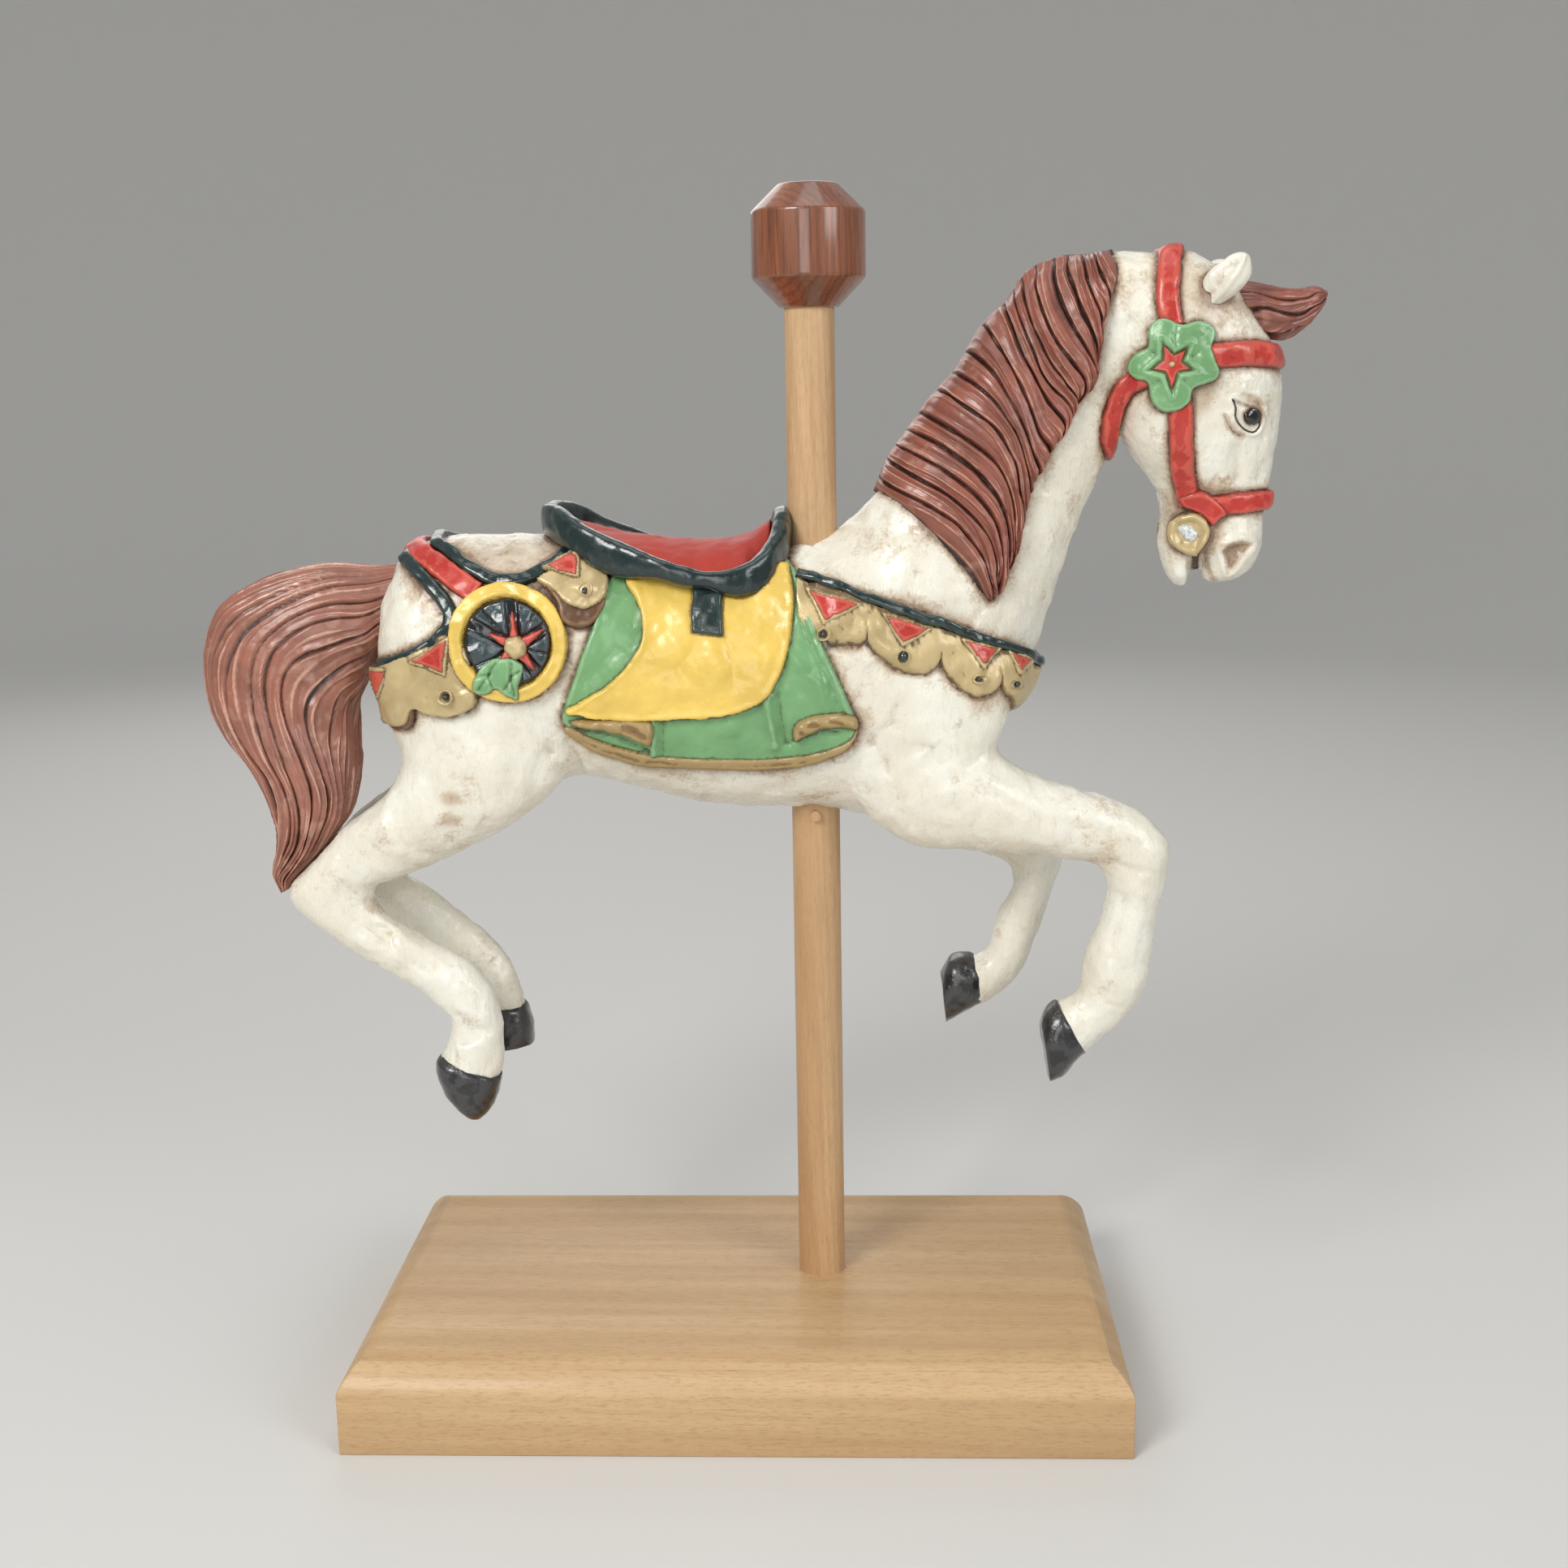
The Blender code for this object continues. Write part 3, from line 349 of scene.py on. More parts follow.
def lumps(places, size, seed):
    """A smooth field between about -1 and 1, with features of some size."""
    shift = Vector((seed * 17.3, seed * 5.1, seed * 9.7))
    scale = 1 / size
    sample = noise.noise
    return np.array([sample(Vector(p) * scale + shift) for p in places.tolist()]) * 1.6


def tooled(mesh, places, size, tilt, seed):
    """Height of soft flat cuts about size across, as a carver's tool leaves them."""
    random = np.random.default_rng(seed)
    count = max(6, int(sum(face.area for face in mesh.polygons) / size ** 2))
    seats = places[random.choice(len(places), min(count, len(places)), replace=False)]
    slopes = random.normal(0, tilt, seats.shape)
    tree = KDTree(len(seats))
    for number, seat in enumerate(seats.tolist()):
        tree.insert(seat, number)
    tree.balance()
    rise = np.zeros(len(places))
    for number, place in enumerate(places.tolist()):
        found = tree.find_n(place, 3)
        nearest = found[0][2]
        total = height = 0.0
        for spot, which, gap in found:
            weight = math.exp(-((gap - nearest) / (CUT_BLEND * size)) ** 2)
            slope = slopes[which]
            total += weight
            height += weight * sum(slope[k] * (place[k] - spot[k]) for k in range(3))
        rise[number] = height / total
    return rise


class Skin:
    """A surface that carved work is laid on, from the near side or from the far one."""

    def __init__(self, meshes):
        places, faces = [], []
        for mesh in meshes:
            start = len(places)
            places += [v.co.copy() for v in mesh.vertices]
            faces += [tuple(i + start for i in p.vertices) for p in mesh.polygons]
        self.tree = BVHTree.FromPolygons(places, faces)

    def near(self, point):
        place, normal, _, _ = self.tree.find_nearest(point)
        return place, normal

    def sighted(self, x, z, side=NEAR):
        """Where the line of sight through (x, z) meets the skin, seen from a side."""
        flip = -1 if side == FAR else 1
        eye = Vector((EYE.x, EYE.y * flip, EYE.z))
        aim = (Vector((x, PICTURE_Y * flip, z)) - eye).normalized()
        place, normal, _, _ = self.tree.ray_cast(eye, aim)
        if place is None:
            spot = seen(x, z, -12.0)
            return self.near(Vector((spot.x, spot.y * flip, spot.z)))
        return place, normal


def plate(outline, height, skin, side=NEAR, step=1.0, edge=1.2, sharp=False):
    """Raised work inside an outline of the side view, laid on the skin.

    height is a number, or a function of arrays of x and z. Returns points, faces and the
    distance of each point from the rim.
    """
    line = outline if sharp else through(outline, 6, closed=True)
    line = spaced(line, step * 0.75)
    low, high = line.min(0), line.max(0)
    rows = []
    for number, z in enumerate(np.arange(low[1] + step / 2, high[1], step * 0.87)):
        shift = step / 2 if number % 2 else 0.0
        rows += [(x, z) for x in np.arange(low[0] + shift, high[0], step)]
    grid = np.array(rows).reshape(-1, 2)
    gap = line_gap(grid[:, 0], grid[:, 1], line, closed=True)
    grid = grid[is_inside(grid[:, 0], grid[:, 1], line) & (gap > step * 0.5)]
    loop = len(line)
    rim = [(k, (k + 1) % loop) for k in range(loop)]
    flat, _, faces, _, _, _ = delaunay_2d_cdt([Vector(p) for p in np.vstack([line, grid])], rim,
                                              [], 1, 1e-5)
    flat = np.array([tuple(p) for p in flat])
    gap = line_gap(flat[:, 0], flat[:, 1], line, closed=True)
    gap[:loop] = 0
    full = height(flat[:, 0], flat[:, 1]) if callable(height) else np.full(len(flat), float(height))
    rise = full * np.sqrt(np.maximum(0.0, 1 - (1 - np.minimum(gap / edge, 1.0)) ** 2))
    outward = Vector((0, -PLATE_LEAN if side == NEAR else PLATE_LEAN, 0))
    ground, ways = [], []
    for x, z in flat:
        place, normal = skin.sighted(x, z, side)
        ground.append(tuple(place))
        ways.append(tuple((normal * (1 - PLATE_LEAN) + outward).normalized()))
    pairs = {(min(a, b), max(a, b)) for f in faces for a, b in zip(f, f[1:] + f[:1])}
    one, two = np.array(sorted(pairs)).T
    ways = smoothed(np.array(ways), one, two, 5)
    ways /= np.linalg.norm(ways, axis=1, keepdims=True)
    ground = np.array(ground)
    inner = smoothed(ground, one, two, 2)
    hem = ground[:loop]
    for _ in range(3):
        hem = (np.roll(hem, 1, 0) + 2 * hem + np.roll(hem, -1, 0)) / 4
    inner[:loop] = ground[:loop] = hem
    top = [Vector(p) for p in inner + ways * rise[:, None]]
    under = [Vector(p) for p in ground[:loop] - ways[:loop] * PLATE_SINK]
    count = len(flat)
    shell = [tuple(f) for f in faces]
    _, _, floor, _, _, _ = delaunay_2d_cdt([Vector(p) for p in flat[:loop]], rim, [], 1, 1e-5)
    shell += [tuple(i + count for i in reversed(f)) for f in floor if max(f) < loop]
    for k in range(loop):
        after = (k + 1) % loop
        shell.append((after, k, k + count, after + count))
    return top + under, shell, list(gap) + [0.0] * loop


def strap(path, half_width, height, skin, per_span=12, across=12, over_top=False, hang=False,
          side=NEAR, full=5.0):
    """Raised band along points of the side view, each (x, z) or (x, z, depth).

    half_width is a number, or a function of the share of the way along that gives the
    reach to either side. over_top runs the band on round to the far side, hang lets its
    reach point straight down, and full is how square its section is.
    """
    flip = -1 if side == FAR else 1
    marks = []
    for mark in path:
        if len(mark) == 3:
            spot = seen(*mark)
            marks.append(skin.near(Vector((spot.x, spot.y * flip, spot.z)))[0])
        else:
            marks.append(skin.sighted(*mark, side)[0])
    if over_top:
        marks += [Vector((p.x, -p.y, p.z)) for p in reversed(marks[:-1])]
    spine = [Vector(p) for p in through([tuple(p) for p in marks], per_span)]
    snapped = [skin.near(point) for point in spine]
    line = np.array([tuple(place) for place, _ in snapped])
    for _ in range(3):
        line[1:-1] = (line[:-2] + 2 * line[1:-1] + line[2:]) / 4
    normals = np.array([tuple(normal) for _, normal in snapped])
    for _ in range(4):
        normals[1:-1] = (normals[:-2] + 2 * normals[1:-1] + normals[2:]) / 4
    rings, gaps = [], []
    for number, point in enumerate(line):
        point = Vector(point)
        normal = Vector(normals[number]).normalized()
        ahead = Vector(line[min(number + 1, len(line) - 1)])
        behind = Vector(line[max(number - 1, 0)])
        out_side = (ahead - behind).normalized().cross(normal).normalized()
        if hang:
            out_side = (DOWN - normal * normal.dot(DOWN)).normalized()
        share = number / (len(line) - 1)
        left, right = half_width(share) if callable(half_width) else (half_width, half_width)
        tall = height(share) if callable(height) else height
        top, under, gap = [], [], []
        for k in range(across + 1):
            u = math.sin(math.pi / 2 * (2 * k / across - 1))
            reach = right if u > 0 else left
            place, out = skin.near(point + out_side * (u * reach))
            out = (out * 0.5 + normal).normalized()
            high = tall * math.sqrt(max(0.0, 1 - abs(u) ** full))
            high *= 1 + STRAP_WAVE * noise.noise(place * STRAP_WAVE_PITCH)
            top.append(place + out * high)
            under.append(place - out * STRAP_SINK)
            gap.append((1 - abs(u)) * max(reach, 0.01))
        rings.append(top + under[::-1])
        gaps += gap + [0.0] * (across + 1)
    points, faces = skin_of_rings(rings)
    return points, faces, gaps + [0.0, 0.0]


def disc(x, z, radius, count=40):
    return [(x + radius * math.cos(2 * math.pi * k / count),
             z + radius * math.sin(2 * math.pi * k / count)) for k in range(count)]


def rays(x, z, tips, inner):
    """Star outline from its tips, each an angle in degrees and a reach."""
    tips = sorted(tips)
    out = []
    for number, (angle, reach) in enumerate(tips):
        after = tips[(number + 1) % len(tips)][0] + (360 if number == len(tips) - 1 else 0)
        for turn, length in ((angle, reach), ((angle + after) / 2, inner)):
            turn = math.radians(turn)
            out.append((x + length * math.cos(turn), z + length * math.sin(turn)))
    return out


# Flesh

def trunk():
    return loft([(-137, 312, -138, 290, 12), (-132, 330, -134, 268, 25),
                 (-122, 342, -124, 254, 33), (-105, 346, -104, 248, 37),
                 (-85, 346, -82, 247, 38), (-62, 345, -62, 250, 36.5),
                 (-40, 340, -40, 246, 35.5), (-15, 337, -15, 239.5, 36),
                 (10, 338, 10, 236.8, 36), (35, 343, 33, 237, 36),
                 (60, 345, 55, 233, 35.5), (84, 334, 78, 232, 34.5),
                 (104, 316, 94, 240, 31), (114, 300, 102, 258, 24),
                 (117, 292, 104, 270, 13)], sides=36, square=2.25)


def neck():
    return loft([(20, 330, 80, 250, 32), (41, 345, 104, 266, 33), (55, 357, 115, 282, 29.5),
                 (65, 373, 121.5, 303, 24.5), (76, 388, 128, 323, 20.5),
                 (87, 403, 135, 345, 18), (99, 419, 143, 364, 17), (114, 433, 151, 382, 16.5),
                 (132, 443.5, 160, 397, 16.5), (148, 448, 169, 408, 17),
                 (162, 447, 176, 418, 16)], sides=32)


def head():
    skull = loft([(176, 448, 157, 446, 9), (187, 441, 149, 438, 15.5),
                  (197, 430, 147, 428, 19, 0, -0.05), (205, 418, 146, 417, 21, 0, -0.1),
                  (210.5, 406, 147, 405, 21.5, 0, -0.15), (212, 394, 149, 394, 21.3, 0, -0.2),
                  (211.5, 383, 151, 384, 20.5, 0, -0.22), (210, 373, 154, 375, 18.8, 0, -0.2),
                  (208.7, 364, 160.5, 366, 16, 0, -0.15), (207.5, 356, 166, 358, 13.6, 0, -0.05),
                  (206.5, 349, 167, 350, 12.6), (206.3, 342, 167, 342, 12.6),
                  (206, 336, 168, 336, 13)], sides=32, square=2.3)
    upper_lip = loft([(206.5, 348, 178, 347, 12), (206.3, 340, 181, 339, 13.6),
                      (205, 333, 182.3, 332, 13.2), (202, 328, 183, 326.5, 11.5),
                      (196, 324.8, 185, 323.2, 8)], sides=24)
    lower_lip = loft([(184, 347, 167, 346, 10.5), (181.5, 338, 166.7, 338, 10),
                      (180.6, 331, 168.3, 330, 9.5), (179.5, 325.5, 171, 325.3, 8.2),
                      (177.5, 322, 174, 322, 4)], sides=20)
    return [skull, upper_lip, lower_lip]


NEAR_FORELEG = ((56, 290, 46, 244, 12, -18), (76, 277, 57, 229, 15.5, -18),
                (92, 267, 71, 219.5, 16.5, -19), (106, 256, 88, 217.5, 16, -20),
                (121, 247.5, 106, 216.3, 14.5, -20.5), (137, 242.3, 125, 214.6, 13, -21),
                (153, 237.3, 139, 212.4, 12, -21), (166, 229.5, 147, 209.5, 12, -21),
                (173.3, 220, 149.3, 204, 12, -21), (174, 209, 149, 196, 11.3, -21),
                (171.3, 197, 146.5, 187, 10.5, -21), (169.5, 185, 142.5, 178, 10, -21),
                (168.3, 173, 139.8, 168, 10, -21), (166.8, 161, 139.6, 160.5, 10, -21),
                (161, 150.8, 136.5, 156, 9.5, -21), (151.5, 140, 132.8, 154.2, 9.5, -21),
                (141.5, 131.8, 130, 153, 10, -21))
FAR_FORELEG = ((75, 278, 62, 240, 14, 18), (95, 262, 80, 224, 15.5, 19),
               (112, 249, 98, 217, 13.5, 20), (126, 239, 108, 213, 12, 21),
               (132, 226, 111.5, 209, 12, 21), (131, 213, 112, 203, 11.3, 21),
               (128, 202, 108.5, 195, 10, 21), (125, 191, 104, 187.5, 9.5, 21),
               (121, 180, 102.5, 180, 9.7, 21), (115.5, 166.5, 101, 175.6, 9.7, 21),
               (107, 157.5, 98, 174, 9.3, 21), (99, 152.4, 95.5, 173.5, 9.8, 21))
NEAR_HIND = ((-58, 278, -122, 306, 13, -17), (-63, 262, -131, 282, 17.5, -18),
             (-68, 248, -133, 258, 18, -19), (-80, 236, -139, 244.5, 17, -20),
             (-96, 225.5, -148, 236.3, 15, -20), (-112, 218, -157, 230.5, 13.3, -20),
             (-127, 211, -165.5, 222, 11.5, -20), (-140, 206.6, -174, 213.5, 10, -20),
             (-147.5, 203.5, -182, 205.5, 9.6, -20), (-148, 199.5, -183.5, 198.7, 9.8, -20),
             (-145.5, 194, -176, 190.5, 9.8, -20), (-137, 186.5, -162, 178.8, 9.2, -20),
             (-124, 179.5, -147.5, 169.4, 8.8, -20), (-111.5, 172.3, -134, 161.2, 8.8, -20),
             (-102.5, 162.5, -122.7, 151.5, 9.2, -20), (-98, 150, -119, 145, 8.8, -20),
             (-97.5, 138, -121.3, 137.5, 8.8, -20), (-97.7, 127, -124.5, 131, 9.8, -20),
             (-100, 121, -124.3, 130.6, 10, -20))
FAR_HIND = ((-58, 280, -120, 304, 13, 17), (-63, 264, -127, 282, 17, 18),
            (-68, 252, -131, 262, 17.5, 19), (-79, 242, -135, 250, 16.5, 20),
            (-93, 232.5, -144, 241.5, 14.5, 20), (-107, 225.5, -153, 235.5, 13, 20),
            (-120, 218.5, -161, 227, 11.3, 20), (-132, 214, -169, 218.5, 10, 20),
            (-136.5, 211, -173.5, 210.5, 9.6, 20), (-134.5, 208, -172, 203.5, 9.8, 20),
            (-127, 204.8, -163, 196, 9.5, 20), (-117, 196.6, -146.5, 184.5, 9, 20),
            (-106.5, 187.6, -131, 175, 8.8, 20), (-97.5, 178.4, -118.5, 166, 9, 20),
            (-91.5, 167, -110, 158.5, 9, 20), (-88.6, 157.5, -107, 154, 9, 20),
            (-88.2, 152, -106, 150.8, 9.6, 20))
HOOVES = {
    "hoof_near_fore": ((142, 132, 131, 152.5, 9.8, -21), (139, 129.5, 129, 153, 11, -21),
                       (133, 122.5, 125.5, 149.5, 11.6, -21), (127.3, 119.6, 123.6, 144, 11, -21)),
    "hoof_far_fore": ((99, 153.5, 97, 172.5, 9.6, 21), (96, 151.8, 93.5, 174, 10.8, 21),
                      (90, 148.2, 87, 172.6, 11.2, 21), (85, 145.5, 83, 165, 10.4, 21)),
    "hoof_near_hind": ((-100, 122.5, -123, 132, 9.8, -20), (-99.3, 121.3, -126, 128.5, 11.2, -20),
                       (-101.2, 114.5, -124.5, 118, 11.6, -20),
                       (-104, 108.5, -119, 110.5, 10.6, -20),
                       (-107.5, 105.3, -114, 105.6, 7.5, -20)),
    "hoof_far_hind": ((-88.5, 154, -105.5, 152.5, 9.3, 20), (-86.9, 151.8, -107, 150.6, 10.6, 20),
                      (-85, 143.5, -108.5, 142, 11.3, 20), (-85.2, 137, -108, 136.4, 11, 20)),
}


EAR = ((178, 430, 184.5, 422.5, 3.5, -11), (179.6, 434, 186.6, 426.4, 4.2, -14),
       (183.2, 439.6, 191.6, 430.4, 4.4, -16.5), (187.6, 443.6, 196.2, 433.8, 4.2, -18),
       (192, 446.3, 198.9, 438.2, 3.4, -18.6), (195.3, 446.9, 199, 442.6, 2.2, -18.6),
       (197.2, 446.2, 198.5, 444.8, 0.9, -18.4))


def make_ears(coats):
    """Leaf-shaped ears with a fold down the middle."""
    points, faces = loft(EAR, sides=56, per_span=10, square=2.2)
    places = np.array([tuple(p) for p in points])
    x, z = pictured(places)
    fold = line_gap(x, z, ((184.5, 428.5), (190.5, 435), (194.2, 440), (196.6, 445.4)))
    dish = line_gap(x, z, ((184, 431), (188, 438), (192, 443)))
    rise = (1.0 * bell(fold, 1.1) - 1.5 * bell(dish, 2.4)) * (places[:, 1] < -16.0)
    places[:, 1] -= rise
    other = places * np.array([1, -1, 1])
    both = np.vstack([places, other])
    shell = list(faces) + [tuple(i + len(points) for i in reversed(f)) for f in faces]
    TRAPPINGS.append(([tuple(p) for p in both], shell))
    thing = piece("ears", raw_mesh("ears", (both, shell)), coats["ivory"])
    root = line_gap(*pictured(both), ((176, 431), (180.5, 428), (185.5, 423.5)))
    base = bell(np.minimum(root, 9), 3.0)
    tone(thing, rounds=8, reach=0.3, stain=0.75 * base + 0.4 * bell(np.tile(dish, 2), 2.0))


def flesh():
    shells = [trunk(), neck()] + head()
    shells += [loft(leg) for leg in (NEAR_FORELEG, FAR_FORELEG, NEAR_HIND, FAR_HIND)]
    shells += [loft(hoof[:2], square=2.4) for hoof in HOOVES.values()]
    soft = through_modifiers(raw_mesh("flesh", joined(shells)),
                             ("REMESH", {"mode": "VOXEL", "voxel_size": FLESH_GRAIN}),
                             ("SMOOTH", {"factor": 0.5, "iterations": 2}))
    fill_creases(soft, FILLET_ROUNDS)
    return through_modifiers(soft, ("SUBSURF", {"levels": 1, "render_levels": 1}))


HEAD_REGION = ((169, 470), (168.5, 444), (168, 432), (169, 420), (166, 404), (153, 397.5),
               (148.5, 388), (149.5, 377), (151.5, 370), (150, 300), (250, 300), (250, 470))
EYE_MARKS = ((193.6, 392.6), (196, 391.7), (198.5, 390.6), (200.6, 389.8), (202.4, 389),
               (203.8, 387.4), (204.5, 385), (204, 382), (201.9, 380.1), (198.8, 380.9),
               (196, 383.6), (194.7, 386.5), (194.6, 389.7))
EYE_LINE = through(((193.6, 392.6), (194.8, 389.7), (194.8, 386.5), (196.1, 383.7), (198.9, 381.1),
            (201.9, 380.4), (203.8, 382.2), (204.2, 384.6)), 4)
EYE_OUTLINE = through(EYE_MARKS, 4, closed=True)
IRIS = (201.2, 386.2)
NOSTRIL = ((191.3, 334.8), (193, 337.2), (195.8, 338.8), (199, 339.3), (203, 338.2),
           (202.8, 336.8), (199.8, 333.4), (197.6, 330.2), (195.4, 327.8), (193.7, 327),
           (192.8, 330), (192.2, 332.5))


FACE_LINES = ((((197.6, 396.8), (199.4, 394.9), (203, 394.6), (205.8, 391.6), (206.6, 387)),
               0.5, 0.9, 0.0),
              (((197.8, 394.6), (201.4, 392.8), (204.6, 390.6)), -0.5, 0.8, 0.3),
              (((190.9, 386.6), (192, 383.5), (194, 380.8), (197.4, 378.6)), -0.55, 0.6, 0.62),
              (((192.6, 387), (193.4, 384), (195.6, 381)), 0.35, 0.8, 0.0),
              (((184.6, 335), (185.2, 331), (186.4, 327.4), (189, 323)), -0.8, 0.6, 0.55),
              (((183.2, 333), (183.9, 328), (185.8, 323.6)), 0.4, 0.7, 0.0),
              # The mouth's gap: its dark line and brown rub are painted shade between the lips.
              (((181.2, 335.4), (180.9, 330), (181, 323)), -1.4, 2.1, 1.5),
              (((196.4, 374), (197.4, 368), (196.6, 362)), -0.5, 1.8, 0.0),
              (((205.5, 378), (204.6, 370), (204.8, 363)), -0.5, 1.5, 0.0),
              (((186.5, 361.2), (188.2, 363.8), (190, 361.4), (193, 363.2)), -0.45, 0.8, 0.3))
FACE_DENTS = ((200, 371, 6, 9, -0.8), (190, 372, 4, 10, 0.7), (158, 385, 9, 12, 0.9),
              (202, 399, 5, 3, 0.6), (200, 345, 5, 4, 0.5), (190, 343, 3, 4, -0.6),
              (175, 327, 4, 5, 0.5), (190, 418, 6, 4, -0.6))


def parted(mesh, keep_inside):
    """The part of a mesh inside the head region, or the part outside it."""
    x, z = pictured(places_of(mesh))
    inside = is_inside(x, z, HEAD_REGION)
    gap = line_gap(x, z, HEAD_REGION, closed=True)
    signed = np.where(inside, gap, -gap) * (1 if keep_inside else -1)
    work = bmesh.new()
    work.from_mesh(mesh)
    work.verts.ensure_lookup_table()
    drop = [v for v in work.verts if signed[v.index] < -HEAD_OVERLAP]
    bmesh.ops.delete(work, geom=drop, context="VERTS")
    part = bpy.data.meshes.new("part")
    work.to_mesh(part)
    work.free()
    return part


def face_relief(x, z):
    """Height, dark line and brown rub of the face's features in the side view. The dark line and
    rub at the mouth's gap are painted shade.
    """
    inside_eye = is_inside(x, z, EYE_OUTLINE)
    eye_gap = line_gap(x, z, EYE_OUTLINE, closed=True)
    ball = np.hypot(x - IRIS[0], z - IRIS[1])
    socket = -0.9 * ramp(eye_gap, 0.0, 0.7) + 0.7 * ramp(5.0 - ball, 0, 3.5)
    rise = np.where(inside_eye, socket, 0.0)
    rise += np.where(inside_eye, 0.0, 0.75 * bell(eye_gap - 0.9, 0.8))
    ink = 1.2 * bell(line_gap(x, z, EYE_LINE), 0.42)
    ink = np.maximum(ink, 0.62 * bell(eye_gap, 0.3))
    rub = np.where(inside_eye, 0.2, 0.0)
    for line, depth, width, shade in FACE_LINES:
        gap = line_gap(x, z, line)
        rise += depth * bell(gap, width)
        ink = np.maximum(ink, shade * bell(gap, width * 0.7))
        rub = np.maximum(rub, 1.2 * shade * bell(gap, 1.6))
    inside = is_inside(x, z, NOSTRIL)
    gap = line_gap(x, z, NOSTRIL, closed=True)
    upper = ramp(z - 0.8 * (x - 197), 330, 337)
    rise += np.where(inside, -2.0 * ramp(gap, 0.0, 2.8), 0.6 * bell(gap - 1.2, 1.2))
    # Inside the nostril the skin is darker towards the middle and along the upper edge.
    nostril_darkening = 0.35 + 0.75 * ramp(gap, 0.0, 1.6) + 0.5 * bell(gap, 1.2) * upper
    rub = np.maximum(rub, np.where(inside, nostril_darkening, 0.35 * bell(gap, 0.8)))
    nostril_dark_edge = 0.16 * ramp(gap, 0, 1) + 0.45 * bell(gap, 1.1) * upper
    ink = np.maximum(ink, np.where(inside, nostril_dark_edge, 0.0))
    rise = with_dents(rise, x, z, FACE_DENTS)
    rub = np.where(inside_eye, rub - 0.7 * ramp(eye_gap, 0.0, 0.6), rub)
    return rise, ink, rub


def open_mouth(places, x, z):
    """Part the lips a little, because the fillets had closed them."""
    low = ramp(334.5 - z, 0, 3.5)
    places[:, 0] += low * np.where(x > 181, 1.4, -1.1) * bell(x - 181, 2.8)
    return places


BODY_LINES = ((((-66, 262), (-62, 256), (-60, 250)), -1.0, 2.2),
              (((-72, 262), (-78, 252), (-82, 240)), -0.5, 3.0),
              (((-150, 222), (-138, 221), (-126, 217)), -0.5, 2.0),
              (((-166, 206), (-158, 203), (-152, 198)), -0.6, 2.0),
              (((-160, 192), (-145, 180), (-130, 168)), -0.6, 1.8),
              (((-150, 193), (-136, 181), (-121, 170)), 0.4, 1.8),
              (((-116, 148), (-112, 143), (-104, 141)), -0.6, 1.6),
              (((56, 262), (62, 250), (66, 238)), -0.8, 3.0),
              (((70, 262), (78, 250), (92, 240)), 0.5, 5.0),
              (((88, 246), (105, 238), (122, 230)), -0.5, 2.6),
              (((130, 228), (140, 226), (150, 222)), -0.5, 2.0),
              (((152, 212), (160, 208), (168, 206)), -0.5, 2.0),
              (((156, 196), (154, 184), (152, 172)), -0.6, 2.0),
              (((164, 198), (162, 184), (160, 170)), 0.4, 2.0),
              (((146, 158), (150, 152), (156, 150)), -0.5, 1.6),
              (((118, 300), (124, 320), (131, 342)), -0.7, 3.0),
              (((128, 300), (132, 322), (138, 344)), 0.4, 3.0),
              (((102, 262), (97, 252), (90, 246)), -0.5, 2.5),
              (((-44, 248), (-20, 243), (10, 241)), 0.3, 3.0),
              (((-110, 262), (-100, 250), (-94, 240)), 0.4, 6.0))
BODY_DENTS = ((-72, 259, 3, 3, -0.7), (-115, 240, 4, 3, -0.25), (-115, 231, 4, 3, -0.25),
              (140, 232, 3, 2, -0.3), (98, 232, 3, 2, -0.3), (90, 256, 12, 10, 0.8),
              (-100, 262, 16, 14, 0.8))


def body_relief(x, z):
    return with_dents(with_lines(np.zeros_like(x), x, z, BODY_LINES), x, z, BODY_DENTS)


def carved(mesh, is_head, triangles):
    """A part of the flesh with its features and the maker's unevenness."""
    if is_head:
        mesh = through_modifiers(mesh, ("SUBSURF", {"levels": 1, "render_levels": 1}))
    places = places_of(mesh)
    normals = normals_of(mesh)
    x, z = pictured(places)
    facing = ramp(np.sign(places[:, 1]) * normals[:, 1], 0.05, 0.45)
    if is_head:
        rise = face_relief(x, z)[0]
        places = open_mouth(places, x, z)
    else:
        rise = body_relief(x, z)
    rise = rise * facing
    rise += LUMP * lumps(places, LUMP_SIZE, 1) + PIT * lumps(places, PIT_SIZE, 2)
    rise += tooled(mesh, places, *(HEAD_CUTS if is_head else BODY_CUTS), 11)
    put_places(mesh, places + normals * rise[:, None])
    count = sum(len(p.vertices) - 2 for p in mesh.polygons)
    if count > triangles:
        mesh = through_modifiers(mesh, ("DECIMATE", {"ratio": triangles / count}))
    return mesh


# Paint and wood

